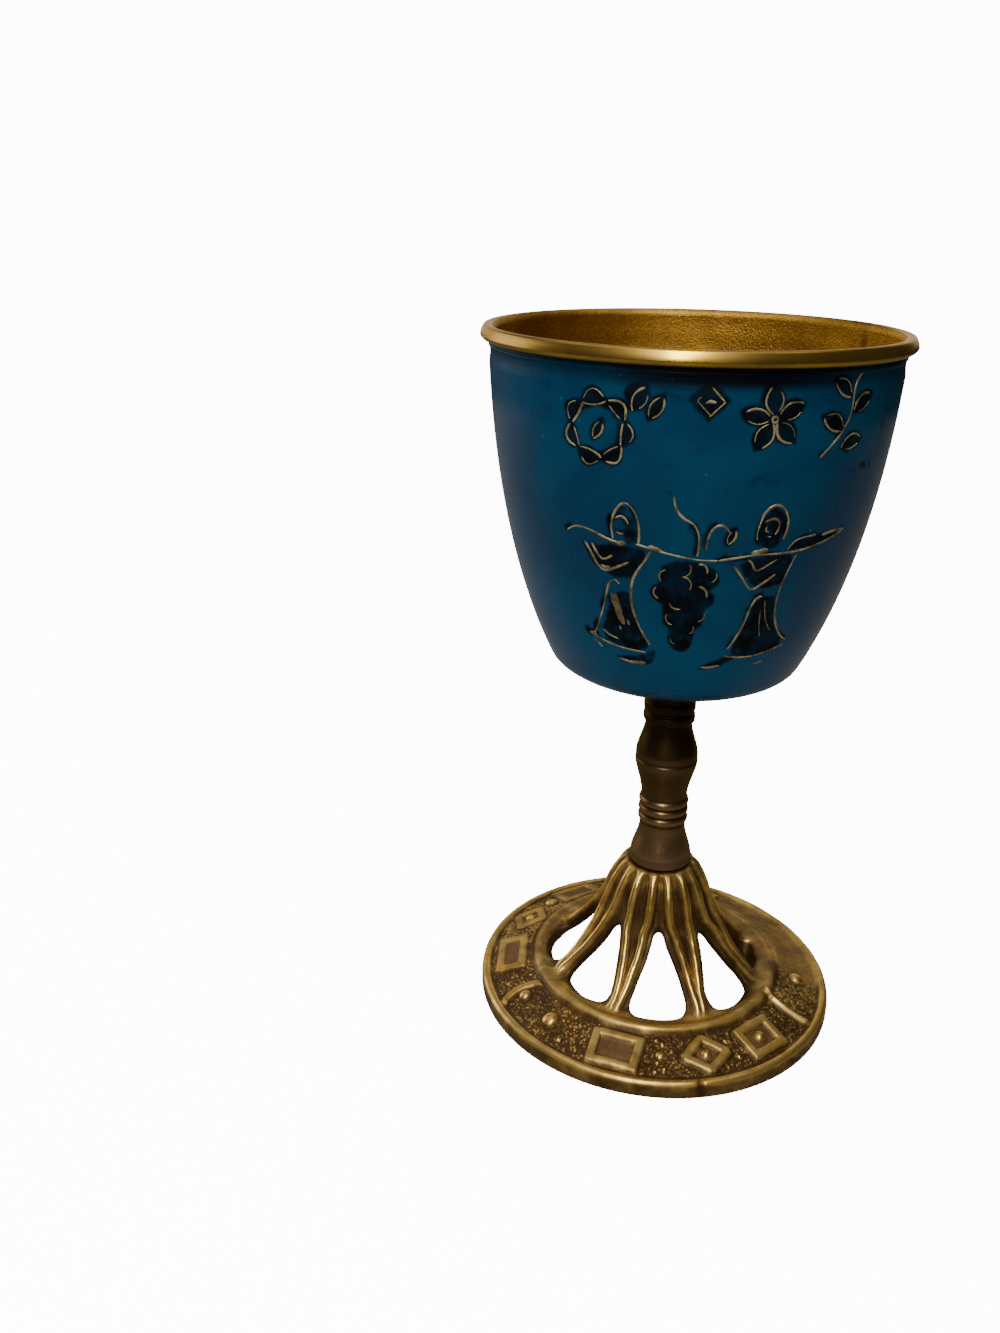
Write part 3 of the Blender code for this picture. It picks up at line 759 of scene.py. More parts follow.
def makeBowl(shape):
    # the enamel's shell is the outline turned round the axis, with a plain hidden back half a
    # wall inside it, and the lining is the same outline a whole wall in, with the bead on top
    columns = np.radians(bowlColumns(shape))
    drawnTo, neckFoot = shape["drawnTo"], shape["neckFoot"]
    fine = bowlSide[bowlSide[:, 1] >= drawnTo]
    rows = np.vstack([spaced(fine[fine[:, 1] > neckFoot], 0.14), spaced(fine[fine[:, 1] <= neckFoot], 0.34),
                      spaced(bowlSide[bowlSide[:, 1] < drawnTo], 0.9)])
    back = bowlSide - 0.5 * sideways(bowlSide)
    back = spaced(back[(back[:, 0] > 6.5) & (back[:, 1] < 136.9)], 3.0)[::-1]
    points, numbers = numberRows([
        poleBlock(back[0, 1]), turnedBlock(np.vstack([back, [(36.8, 137.3)]]), columns[::2]),
        turnedBlock(rows, columns), poleBlock(rows[-1, 1])])
    angles, heights = anglesOf(points), points[:, 2]
    outer = np.zeros(len(points), bool)
    outer[numbers[len(back) + 2][0]:numbers[-1][0]] = True
    ink = np.where(outer & (heights > 80), inkMark(angles, heights, shape["smudges"]), 0.0)
    # painted shade under the bead: the rimShade mark darkens the wall just below the rim, most at the front
    # where the light falls from above
    facing = np.exp(-((angles + 80.0) / 30.0) ** 4)
    shade = np.where(outer, ease(heights, 133.0, 135.2) * (0.30 + 0.70 * facing), 0.0)
    shell = makePiece("bowlShell", points, joinRows(numbers), [enamel], {"ink": ink, "rimShade": shade})
    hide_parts("bowl")

    inner = bowlSide[bowlSide[:, 1] < 136.6]
    plain = 37.17 + 0.09 * (inner[:, 1] - neckFoot) / 2.4
    inner = np.stack([np.where(inner[:, 1] > 134.0, plain, inner[:, 0]), inner[:, 1]], 1)
    inside, floor = inner - shape["wall"] * sideways(inner), shape["floor"]
    inside = inside[(inside[:, 0] > shape["floorRadius"]) & (inside[:, 1] >= floor)][::-1]
    curve = softened([(4.0, floor), (8.0, floor), inside[0], inside[4]], 2)
    inside = spaced(np.vstack([curve, inside[5:]]), 1.0)
    turn = np.radians(np.linspace(186, -100, 40))     # the bead is rolled flatter on the outside
    flatter = 1 - 0.65 * np.clip(1 - math.cos(0.7) / np.cos(np.clip(turn - 0.35, -0.7, 0.7)), 0, 1)
    bead = shape["beadRadius"] * flatter[:, None] * np.stack([np.cos(turn), np.sin(turn)], 1)
    bead = bead + shape["beadCentre"]
    behind = inner - 0.55 * sideways(inner)
    behind = spaced(behind[behind[:, 0] > 8.0], 3.5)
    wide = np.radians(np.linspace(-180, 180, 240, endpoint=False))
    points, numbers = numberRows([
        poleBlock(floor), turnedBlock(np.vstack([inside, bead]), wide),
        turnedBlock(np.vstack([[(36.9, 136.9)], behind]), wide[::2]), poleBlock(floor - 0.35)])
    strips = joinRows(numbers)
    gilded = [int(k > len(inside) + 8) for k in range(len(strips))]       # the rim's gold from the bead on
    angles, heights = anglesOf(points), points[:, 2]
    stainAndShade = np.zeros(len(points))
    for place, high, wide, tall, strength in shape["stainsAndShade"]:
        away = np.hypot((angles - place) / wide, (heights - high) / tall)
        stainAndShade = np.maximum(stainAndShade, strength * fade(away, 0.3, 1.5))
    # the rim is dulled all round, kept bright in a narrow strip at the front where the lamp's reflection falls
    # as a painted highlight, and dulled most on its left end as painted shade
    fromLeft, fromFront = np.abs((angles - 8) % 360 - 180), np.abs(angles + 91)
    tarnishAndPaintedLight = np.maximum(0.60 - 0.60 * ease(fromLeft, 20, 60), 0.10 + 0.36 * ease(fromFront, 3, 8))
    marks = {"stainAndShade": stainAndShade, "tarnishAndPaintedLight": tarnishAndPaintedLight}
    makePiece("giltLining", points, strips, [giltInside, giltRim], marks, gilded)


makeBowl(bowlShape)


# Gold lines: low rounded strips that stand on the wall

strokeShape = {
    "step": 0.4, "stand": 0.09, "sunk": 0.05, "thin": 0.58, "swell": 0.66, "waves": 0.27, "tip": 0.35,
    "taper": 1.1,
}


def wallPlace(line):
    # a point (angle, height) on the wall, and the wall's outward normal there
    angle, z = np.radians(line[:, 0]), line[:, 1]
    slope = (wallRadius(z + 0.2) - wallRadius(z - 0.2)) / 0.4
    return polar(wallRadius(z), angle, z), unit(polar(1.0, angle, -slope))


def makeGoldLines(shape):
    # each line carries a section of eight points: half the width times cos, the stand times sin,
    # flat below. Its width swells and thins along the way, and open ends taper
    points, strips, first = [], [], 0
    section = np.radians([0, 35, 65, 90, 115, 145, 180, 270])
    side, lift = np.cos(section), np.sin(section)
    lift = np.where(lift < -0.5, -shape["sunk"] / shape["stand"], lift)
    for number, (line, width, closed) in enumerate(goldStrokes):
        scale = np.array([np.radians(1.0) * wallRadius(line[:, 1].mean()), 1.0])
        line = spaced(line * scale, shape["step"]) / scale
        line = line[:-1] if closed else line
        middle, out = wallPlace(line)
        way = np.roll(middle, -1, axis=0) - np.roll(middle, 1, axis=0) if closed else np.gradient(middle, axis=0)
        across = np.cross(out, unit(way))
        run = np.linspace(0, 1, len(line))
        swell = mottle(run * len(line) * shape["waves"], np.zeros(len(line)) + number * 3.1, 5)
        swell = shape["thin"] + shape["swell"] * swell
        if not closed:
            toEnd = np.minimum(run, 1 - run) * len(line) * shape["step"]
            swell *= shape["tip"] + (1 - shape["tip"]) * np.clip(toEnd / (shape["taper"] * width), 0, 1) ** 0.6
        half = 0.5 * width * swell
        stand = shape["stand"] * (0.6 + 0.4 * np.minimum(swell, 1.0))
        block = (middle[:, None] + across[:, None] * (half[:, None] * side)[..., None]
                 + out[:, None] * (stand[:, None] * lift)[..., None])
        numbers = first + np.arange(len(line) * 8).reshape(-1, 8)
        strips += [strip[:, ::-1] for strip in joinRows(list(numbers) + ([numbers[0]] if closed else []))]
        if not closed:
            strips += [numbers[0][None, :], numbers[-1][None, ::-1]]
        points.append(block.reshape(-1, 3))
        first += len(line) * 8
    makePiece("goldLines", np.vstack(points), strips, [goldLine], {})


makeGoldLines(strokeShape)


# Stem

stemShape = {
    "top": 70.1, "neck": 4.75, "ring": 5.2, "rings": (65.9, 63.4),
    "belt": 54.3, "bead": 5.12, "beads": (44.6, 42.7, 40.8), "columns": 96,
    # high low down, falling off above the belt: worn swells and beads, and painted shade under the bowl
    "wearAndPaintedLight": ([31, 32.6, 33, 34, 39.4, 40, 46, 46.6, 50.6, 51.6, 55.5, 56.2, 60, 64, 70],     # at heights
             [0.50, 0.52, 0.68, 0.66, 0.60, 0.57, 0.55, 0.45, 0.36, 0.37, 0.32, 0.17, 0.11, 0.06, 0.03]),
}


def stemOutline(shape):
    # two rings, a waist, a belted swell, a waist, three beads and a flare, corners softened
    neck, ringRadius, beadRadius, belt = shape["neck"], shape["ring"], shape["bead"], shape["belt"]
    path = [(ringRadius - 0.15, shape["top"]), (ringRadius, shape["top"] - 0.2), (ringRadius, 67.6)]
    for z in shape["rings"]:
        path += [(neck, z + 1.35), (neck, z + 1.05), (ringRadius, z + 0.85), (ringRadius + 0.04, z),
                 (ringRadius, z - 0.85), (neck, z - 1.05)]
    path += [(neck, 61.9)]
    path += list(bezier((neck, 61.6), (5.0, 59.6), (5.8, 58.2), (6.25, 56.0), 8))
    path += [(6.33, belt + 0.6), (6.31, belt + 0.22), (6.18, belt + 0.08), (6.18, belt - 0.1),
             (6.36, belt - 0.24), (6.40, belt - 0.5), (6.36, belt - 0.75)]
    path += list(bezier((6.3, 53.0), (5.75, 50.6), (4.95, 48.6), (neck, 46.6), 9))
    path += [(neck, 46.1)]
    for z in shape["beads"]:
        path += [(beadRadius - 0.48, z + 0.95), (beadRadius - 0.12, z + 0.62), (beadRadius + 0.04, z),
                 (beadRadius - 0.12, z - 0.62)]
    path += [(beadRadius - 0.48, shape["beads"][-1] - 0.95), (neck, 39.3)]
    path += list(bezier((neck, 38.4), (5.0, 36.6), (5.9, 34.9), (6.3, 32.8), 8))
    path += [(6.36, 31.6), (6.4, 31.2), (6.4, 30.95), (6.25, 30.8)]
    return smoothed(path, 2, 0.17)


def makeStem(shape):
    # the outline turned round the axis; the wearAndPaintedLight mark is high on swells and low in grooves, low
    # on the upper part as painted shade under the bowl, and higher at the front than on the sides as a painted
    # highlight
    outline = stemOutline(shape)
    columns = np.radians(np.linspace(-180, 180, shape["columns"], endpoint=False))
    points, numbers = numberRows([poleBlock(outline[0, 1]), turnedBlock(outline, columns),
                                  poleBlock(outline[-1, 1])])
    z = points[:, 2]
    smooth = np.convolve(np.pad(outline[:, 0], 9, mode="edge"), np.ones(19) / 19, "valid")
    proud = np.interp(-z, -outline[:, 1], outline[:, 0] - smooth)
    high = np.interp(z, *shape["wearAndPaintedLight"])
    wearAndPaintedLight = np.clip(high + np.clip(proud * 1.3, -0.45, 0.16) * np.interp(z, [50, 58], [1.0, 0.3]), 0, 1)
    # painted highlight: brighter at the front, darker to the sides
    wearAndPaintedLight *= 0.70 + 0.34 * np.exp(-((anglesOf(points) + 85) / 48) ** 2)
    stem = makePiece("stemTurning", points, joinRows(numbers), [darkBrass], {"wearAndPaintedLight": wearAndPaintedLight})
    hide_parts("stem")


makeStem(stemShape)


# Foot: a ribbed dome with eight windows, a rounded ring, a sloping band of raised work, a lip

footShape = {
    "ribs": 8, "turn": 4.2, "collar": (6.9, 30.5), "shoulder": (11.2, 23.5), "ringTop": (24.4, 7.25),
    "thickness": 2.7, "columns": 480, "domeRows": 57, "windowTop": (11.4, 19.8), "windowFall": 13.1 / 12.0,
    "rodDepth": 1.05, "rodHalf": 0.98, "edgeRound": 0.55, "relief": 0.62, "bar": 1.9, "barRound": 0.45,
    "rodPlaces": ([7, 9.4, 12.3, 16.4, 21, 26, 30.5], [0.5, 0.62, 1.05, 1.55, 2.1, 2.2, 1.5]),  # at heights
    "grooveDepths": ([7.5, 9.5, 13, 30], [0.25, 0.5, 1.0, 1.0]),
    # highlightAt: the angle at which the ring's painted highlight is centred
    "slant": 2.0, "lump": (22.7, 18.5, 1.7), "highlightAt": -85, "nickAt": -73.3,
    "ringPath": [(25.1, 7.22), (25.8, 6.85), (26.15, 6.25), (26.5, 5.98)],
    "lipPath": [(34.95, 3.12), (35.25, 2.98), (35.45, 3.3), (35.8, 3.56), (36.4, 3.52), (37.0, 3.2),
                (37.2, 2.5), (37.2, 1.6), (37.2, 0.5), (37.1, 0.15), (36.7, 0.0)],
    "restPath": [(36.4, 0.0), (34.9, 0.0), (34.5, 0.5), (34.0, 1.35), (31.0, 2.4), (27.0, 3.9)],
    "bandMiddle": 30.65, "bandFall": 0.344,
    "ridge": [(-0.2, 6.6), (-1.3, 5.2), (-2.5, -0.6), (-1.9, -4.0)], "ridgeAt": -20.0,
    "sizes": {"panel": (10.6, 8.0), "square": (9.4, 7.6), "longPanel": (12.0, 6.8), "lozenge": (8.8, 6.8),
              "crescent": (7.6, 30)},       # width and height, or radius and half spread in degrees
    "sunk": {"panel": (3.6, 2.3), "square": (3.0, 2.1), "longPanel": (4.3, 1.7), "lozenge": (2.0, 1.5)},
    "motifs": [("panel", -101.5, 1.0), ("lozenge", -68.0, 1.0), ("square", -44.0, 1.0),
               ("longPanel", -175.5, 0.9), ("crescent", -151.5, 1.0), ("lozenge", 158.0, 0.9),
               ("panel", 128.0, 0.8), ("crescent", 103.0, 0.8), ("square", 78.0, 0.7)],
    "bosses": [(-130, 1.7), (-2.5, 1.65), (-85, 1.0), (-68, 1.0), (-44, 1.2), (-147, 1.3), (143, 1.5),
               (91, 1.2), (64, 1.3), (78, 1.2), (158, 1.1)],
    "dots": [(-86.6, 27.6, 0.45), (-84.0, 28.4, 0.5), (-86.2, 32.2, 0.5), (-84.0, 33.4, 0.45),
             (-87.2, 34.0, 0.4), (-83.2, 30.9, 0.42), (-118.0, 28.5, 0.4), (-121.5, 33.2, 0.45),
             (-56.8, 32.6, 0.42), (-58.6, 29.0, 0.4)],
    "windows": [   # for the window at the front and each next one to the right, three numbers a row:
        # how far down its slope, and how far it reaches to the left and to the right of its middle
        (0, 0.1, 0.1, 0.5, -0.75, 0.85, 1.5, -1.1, 1.25, 3, -1.45, 1.75, 6, -2.3, 3.2, 9, -3.5, 4.45,
         12, -4.6, 5.45, 14, -5.3, 5.85, 15.6, -5.3, 5.4, 16.7, -3.9, 3.8, 17.1, 0.1, 0.1),
        (1.6, 0.6, 0.6, 2.2, -0.2, 1.5, 3, -0.55, 2.1, 4.5, -0.9, 2.75, 7.5, -1.85, 4.25, 10.5, -3.2, 5.6,
         12, -3.95, 6.4, 13.5, -4.25, 6.8, 15.2, -4.15, 6.9, 16.7, -3.3, 6, 17.55, 1.2, 1.2),
        (4.6, 0.9, 0.9, 5.4, 0, 1.9, 7, -1.1, 2.7, 9.2, -1.9, 3.7, 12, -2.7, 5.1, 14, -3.3, 6, 15.6, -3.4, 6.3,
         16.6, -2.6, 5.4, 17.3, 1.2, 1.2),
        (2.8, 0, 0, 3.6, -0.9, 0.9, 7, -2.4, 2.4, 10, -3.6, 3.6, 13, -4.5, 4.5, 14.8, -4.1, 4.1, 15.9, 0, 0),
        (2.6, 0, 0, 3.4, -0.9, 0.9, 7, -2.6, 2.4, 10, -3.7, 3.6, 13, -4.8, 4.6, 15, -4.4, 4.4, 16.2, 0, 0),
        (2.8, 0, 0, 3.6, -0.9, 0.9, 7, -2.4, 2.5, 10, -3.5, 3.7, 13, -4.5, 4.7, 15, -4.2, 4.4, 16.1, 0, 0),
        (0.8, -0.2, -0.2, 1.5, -1.5, 0.9, 3, -2.8, 1.8, 6, -5, 2.7, 9, -6.4, 3.9, 12, -7.3, 4.8, 14, -7.5, 4.9,
         16, -6.8, 4.6, 17.4, -4.4, 3, 17.9, -0.4, -0.4),
        (0.8, -0.2, -0.2, 1.4, -1.1, 0.6, 2.6, -1.6, 1.3, 4.5, -2.1, 2.1, 7.5, -3.2, 3.2, 10.5, -4.5, 4.4,
         13.5, -5.4, 5.3, 15, -5.5, 5.1, 16.3, -4.6, 3.9, 17.1, -0.3, -0.3),
    ],
}
footWearAndLight = {    # how bright each place is, from 0 to 1: wear, and for the ring a painted highlight at the front
    "groove": 0.08, "rod": 0.58, "crest": 0.14, "collar": 0.28, "collarRod": 0.30, "ring": 0.54,
    "ringShadedAside": 0.24, "frame": 0.20, "frameProud": 0.22, "sunk": 0.12, "ridge": 0.44, "boss": 0.64,
    "dot": 0.75, "ground": 0.08, "grain": 0.24, "bare": 0.28, "right": 0.15, "outerRing": 0.58,
    "ringFoot": 0.44, "lip": 0.20, "lipTop": 0.38, "edge": 0.08, "smooth": 0.34,
}
ribStep = 2 * math.pi / footShape["ribs"]
firstWindow = math.radians(footShape["turn"]) - math.pi / 2


def domeCrest(shape):
    # outline over the crests of the rods: two cubic curves, shoulder and skirt, then up onto the ring
    shoulder = bezier(shape["collar"], (8.4, 30.0), (10.2, 26.6), shape["shoulder"], 60)
    skirt = bezier(shape["shoulder"], (12.1, 20.4), (16.2, 12.1), (23.0, 7.0), 80)
    return np.vstack([shoulder, skirt[1:], softened([(23.0, 7.0), (23.7, 6.9), shape["ringTop"]], 3)[1:]])


crest = spaced(domeCrest(footShape), 0.05)
crestRun, crestOut = lengthAlong(crest), sideways(crest)
crestEnd = crestRun[-1]


def onCrest(run, table=crest):
    return np.interp(run, crestRun, table[:, 0]), np.interp(run, crestRun, table[:, 1])


def closedCurve(points, count=6):
    # closed curve through the points: each span is a cubic from b to c, whose slope at either end is
    # half the way between the neighbours of that end
    b = np.array(points, float)
    a, c, d = np.roll(b, 1, 0), np.roll(b, -1, 0), np.roll(b, -2, 0)
    t = np.linspace(0, 1, count, endpoint=False)[:, None, None]
    curve = 0.5 * (2 * b + (c - a) * t + (2 * a - 5 * b + 4 * c - d) * t ** 2 + (3 * b - a - 3 * c + d) * t ** 3)
    return curve.transpose(1, 0, 2).reshape(-1, 2)


def windowOutline(rows):
    # down the right side of the rows and up the left
    down, left, right = np.reshape(rows, (-1, 3)).T
    return closedCurve(np.vstack([np.stack([right, -down], 1), np.stack([left, -down], 1)[-2:0:-1]]))


windowShapes = [windowOutline(rows) for rows in footShape["windows"]]


def windowGap(angle, run, shape=footShape):
    # distance from the nearest window's outline in its own sloping plane, negative in the opening
    r, z = onCrest(run)
    number = np.round((angle - firstWindow) / ribStep)
    off = angle - firstWindow - number * ribStep
    away, up = r * np.cos(off) - shape["windowTop"][0], z - shape["windowTop"][1]
    down = (shape["windowFall"] * up - away) / math.hypot(1.0, shape["windowFall"])
    flat = np.stack([r * np.sin(off), down], -1)
    found = np.empty(angle.shape)
    for k, outline in enumerate(windowShapes):
        mine = number.astype(int) % shape["ribs"] == k
        found[mine] = lineGap(flat[mine], outline, True)
    return found


def ribTables(shape, runs):
    # for each rib and run, how far in radians the openings on its left and right are from its middle
    probe = np.linspace(0, ribStep / 2, 150)
    middles = firstWindow + ribStep * (np.arange(shape["ribs"]) + 0.5)
    tables = []
    for side in (-1, 1):
        angle = (middles[:, None, None] + side * probe * 0.9999) + 0 * runs[:, None]
        inside = windowGap(angle, np.broadcast_to(runs[:, None], angle.shape)) < 0
        table = np.where(inside.any(-1), probe[inside.argmax(-1)], ribStep / 2)
        padded = np.pad(table, ((0, 0), (2, 2)), mode="edge")
        tables.append(sum(padded[:, k:k + len(runs)] for k in range(5)) / 5)
    return tables


def around(angle, degrees):
    # angle from a place, within half a turn either way
    return (angle - math.radians(degrees) + math.pi) % (2 * math.pi) - math.pi


def domeRecess(angle, run, gap, shape):
    # how far the surface lies below the crests: each rib is two rods at c on both sides of its
    # middle with round sections (1 - (distance / half)^2.2)^0.7, and above each window is a hollow
    ribRuns = np.linspace(0, crestEnd, 70)
    r, z = onCrest(run)
    place = (angle - firstWindow) / ribStep
    rib = np.floor(place).astype(int) % shape["ribs"]
    off = (place - np.floor(place) - 0.5) * ribStep
    at = np.interp(run, ribRuns, np.arange(len(ribRuns)))
    low = np.clip(at.astype(int), 0, len(ribRuns) - 2)
    share = at - low
    left, right = (table[rib, low] * (1 - share) + table[rib, low + 1] * share
                   for table in ribTables(shape, ribRuns))
    w, x = 0.5 * (left + right) * r, np.abs(off - 0.5 * (right - left)) * r
    c = np.minimum(np.interp(z, *shape["rodPlaces"]), np.minimum(r * ribStep / 4, w - 0.8))
    c = np.maximum(c, 0.45)
    half = shape["rodHalf"]
    inward, outward = np.minimum(half, 0.95 * c), np.clip(w - c, 0.6, half + 0.15)
    d = np.where(x < c, (c - x) / inward, (x - c) / outward)
    bump = (1 - np.minimum(d, 1) ** 2.2) ** 0.7
    depth = shape["rodDepth"] * np.where(x < c, np.interp(z, *shape["grooveDepths"]), 1.0)
    hollow = ease(x, c + 0.3, c + 1.4) * np.exp(-((z - 22.5) / 3.4) ** 2)
    ramp = ease(run, -0.3, 1.9) * fade(run, crestEnd - 3.2, crestEnd - 1.2)
    recess = ramp * (depth * (1 - bump) + 0.7 * hollow * (1 - bump))
    edge = shape["edgeRound"] + 0.3 * ease(run, crestEnd - 5.5, crestEnd - 3.0)
    near = np.clip(edge - gap, 0, edge)
    recess = recess + edge - np.sqrt(np.maximum(edge ** 2 - near ** 2, 0.0))
    # the lump rises a little and is marked as bright as a crest: a painted highlight
    lumpR, lumpAngle, lumpSize = shape["lump"]
    lump = np.exp(-((around(angle, lumpAngle) * r) ** 2 + (r - lumpR) ** 2) / lumpSize ** 2)
    return recess - 0.7 * lump, np.maximum(bump, 1.5 * lump), ramp


def strokesOf(kind, shape):
    # a motif's bars as (width, height, x, y, lean): the sides of a panel or a lozenge, or a bowed row
    bar, (width, height) = shape["bar"], shape["sizes"][kind]
    if kind == "lozenge":
        lean, length = math.atan2(width, height), math.hypot(width, height) / 2 + bar / 2
        return [(bar, length, x * width / 4, y * height / 4, x * y * lean) for x in (-1, 1) for y in (-1, 1)]
    if kind == "crescent":
        radius, spread = width, math.radians(height)
        return [(0.95 * bar, 0.62 * radius * spread, radius * (1 - math.cos(a)), radius * math.sin(a), -a)
                for a in (spread * k / 2 for k in range(-2, 3))]
    return [s for side in (-1, 1) for s in ((bar, height, side * (width - bar) / 2, 0, 0),
                                            (width, bar, 0, side * (height - bar) / 2, 0))]


def awayFrom(angle, r, degrees, radius, size):
    # distance from a spot on the foot, in sizes of the spot
    off = around(angle, degrees)
    return np.where(np.abs(off) < 0.5, np.hypot(r * np.sin(off), r * np.cos(off) - radius) / size, 9.0)


def roundTop(away):
    return np.sqrt(np.clip(1 - np.minimum(away, 1) ** 2, 0, 1))


def bandRelief(angle, r, shape, bright):
    # height of the raised work over the sloping band: bars with soft shoulders, round bosses,
    # sunk panels, and a curly stipple in the ground between them
    middle, slope, soft = shape["bandMiddle"], math.cos(math.atan(shape["bandFall"])), shape["barRound"]
    height, wearAndPaintedLight, grime, taken, over = (np.zeros_like(r) for _ in range(5))
    for kind, degrees, wornTo in shape["motifs"]:
        off = around(angle, degrees)
        x = np.where(np.abs(off) < 0.5, r * np.sin(off), 99.0)
        y = -(r * np.cos(off) - middle) / slope
        frame = np.zeros_like(r)
        for width, tall, cx, cy, lean in strokesOf(kind, shape):
            dx, dy = x - cx, y - cy
            u, v = dx * math.cos(lean) + dy * math.sin(lean), -dx * math.sin(lean) + dy * math.cos(lean)
            qx, qy = np.abs(u) - width / 2 + soft, np.abs(v) - tall / 2 + soft
            gap = np.hypot(np.maximum(qx, 0), np.maximum(qy, 0)) + np.minimum(np.maximum(qx, qy), 0) - soft
            frame = np.maximum(frame, ease(-gap, -0.22, 0.42))
            wearAndPaintedLight = np.maximum(wearAndPaintedLight, (bright["frame"] + bright["frameProud"] * wornTo) * ease(-gap, -0.1, 0.2))
            taken = np.maximum(taken, ease(-gap, -0.5, 0.0))
        height = np.maximum(height, wornTo * shape["relief"] * frame)
        if kind in shape["sunk"]:
            halfWide, halfTall = shape["sunk"][kind]
            sunk = fade(np.maximum(np.abs(x) - halfWide, np.abs(y) - halfTall), -0.4, 0.2)
            grain = mottle(x / 0.5, y / 0.5, 31)
            height += sunk * (frame < 0.4) * (0.10 * grain - 0.14)
            grime = np.maximum(grime, sunk * (0.5 + 0.4 * grain) * (frame < 0.5))
            wearAndPaintedLight, taken = np.maximum(wearAndPaintedLight, sunk * bright["sunk"]), np.maximum(taken, sunk)
    off = around(angle, shape["ridgeAt"])
    near = np.abs(off) < 0.4
    flat = np.stack([(r * np.sin(off))[near], (middle - r * np.cos(off))[near] / slope], 1)
    away = lineGap(flat, bezier(*shape["ridge"], 30)) / np.interp(flat[:, 1], [-4, 7], [1.2, 0.8])
    over[near] = np.clip(1.16 - np.sqrt(away ** 2 + 0.03), 0, 1)
    height = np.maximum(height, 0.90 * over)
    wearAndPaintedLight[near] = np.maximum(wearAndPaintedLight[near], bright["ridge"] * ease(-away, -1.0, -0.5))
    taken[near] = np.maximum(taken[near], ease(-away, -1.5, -1.0))
    for degrees, size in shape["bosses"]:
        away = awayFrom(angle, r, degrees, middle, size)
        height = np.maximum(height, 0.95 * roundTop(away) * min(1.0, size / 1.4))
        wearAndPaintedLight = np.maximum(wearAndPaintedLight, bright["boss"] * ease(-away, -1.0, -0.75))
        grime = np.where(away < 1.05, 0.0, grime)
        taken = np.maximum(taken, ease(-away, -1.5, -1.0))
    for degrees, radius, size in shape["dots"]:
        away = awayFrom(angle, r, degrees, radius, size)
        height = np.maximum(height, 0.42 * roundTop(away))
        wearAndPaintedLight = np.maximum(wearAndPaintedLight, bright["dot"] * ease(-away, -1.1, -0.6))
    degrees = np.degrees(around(angle, 0))
    worn = ease(degrees, -9, 6) * fade(degrees, 62, 82)
    inBand = np.maximum(ease(r, 26.3, 26.9), over * (r > 24.6)) * fade(r, 34.6, 35.1)
    ground = (1 - taken) * inBand
    x = angle * 31.0
    grain = mottle(x / 0.5 + 0.9 * mottle(x / 1.1, r / 1.1, 7), r / 0.5 + 0.9 * mottle(x / 1.1, r / 1.1, 9), 3)
    height += ground * (1 - 0.9 * worn) * (0.34 * grain - 0.14)
    rough = bright["grain"] * grain ** 1.9 * (1 - worn) + bright["bare"] * worn
    right = bright["right"] * ease(degrees, -38, -12) * (1 - worn)
    wearAndPaintedLight = np.maximum(wearAndPaintedLight, ground * (bright["ground"] + rough + right))
    grime = np.maximum(grime, ground * worn * 0.6)
    return height * inBand, wearAndPaintedLight, grime, ground * (1 - 0.7 * worn), inBand, worn


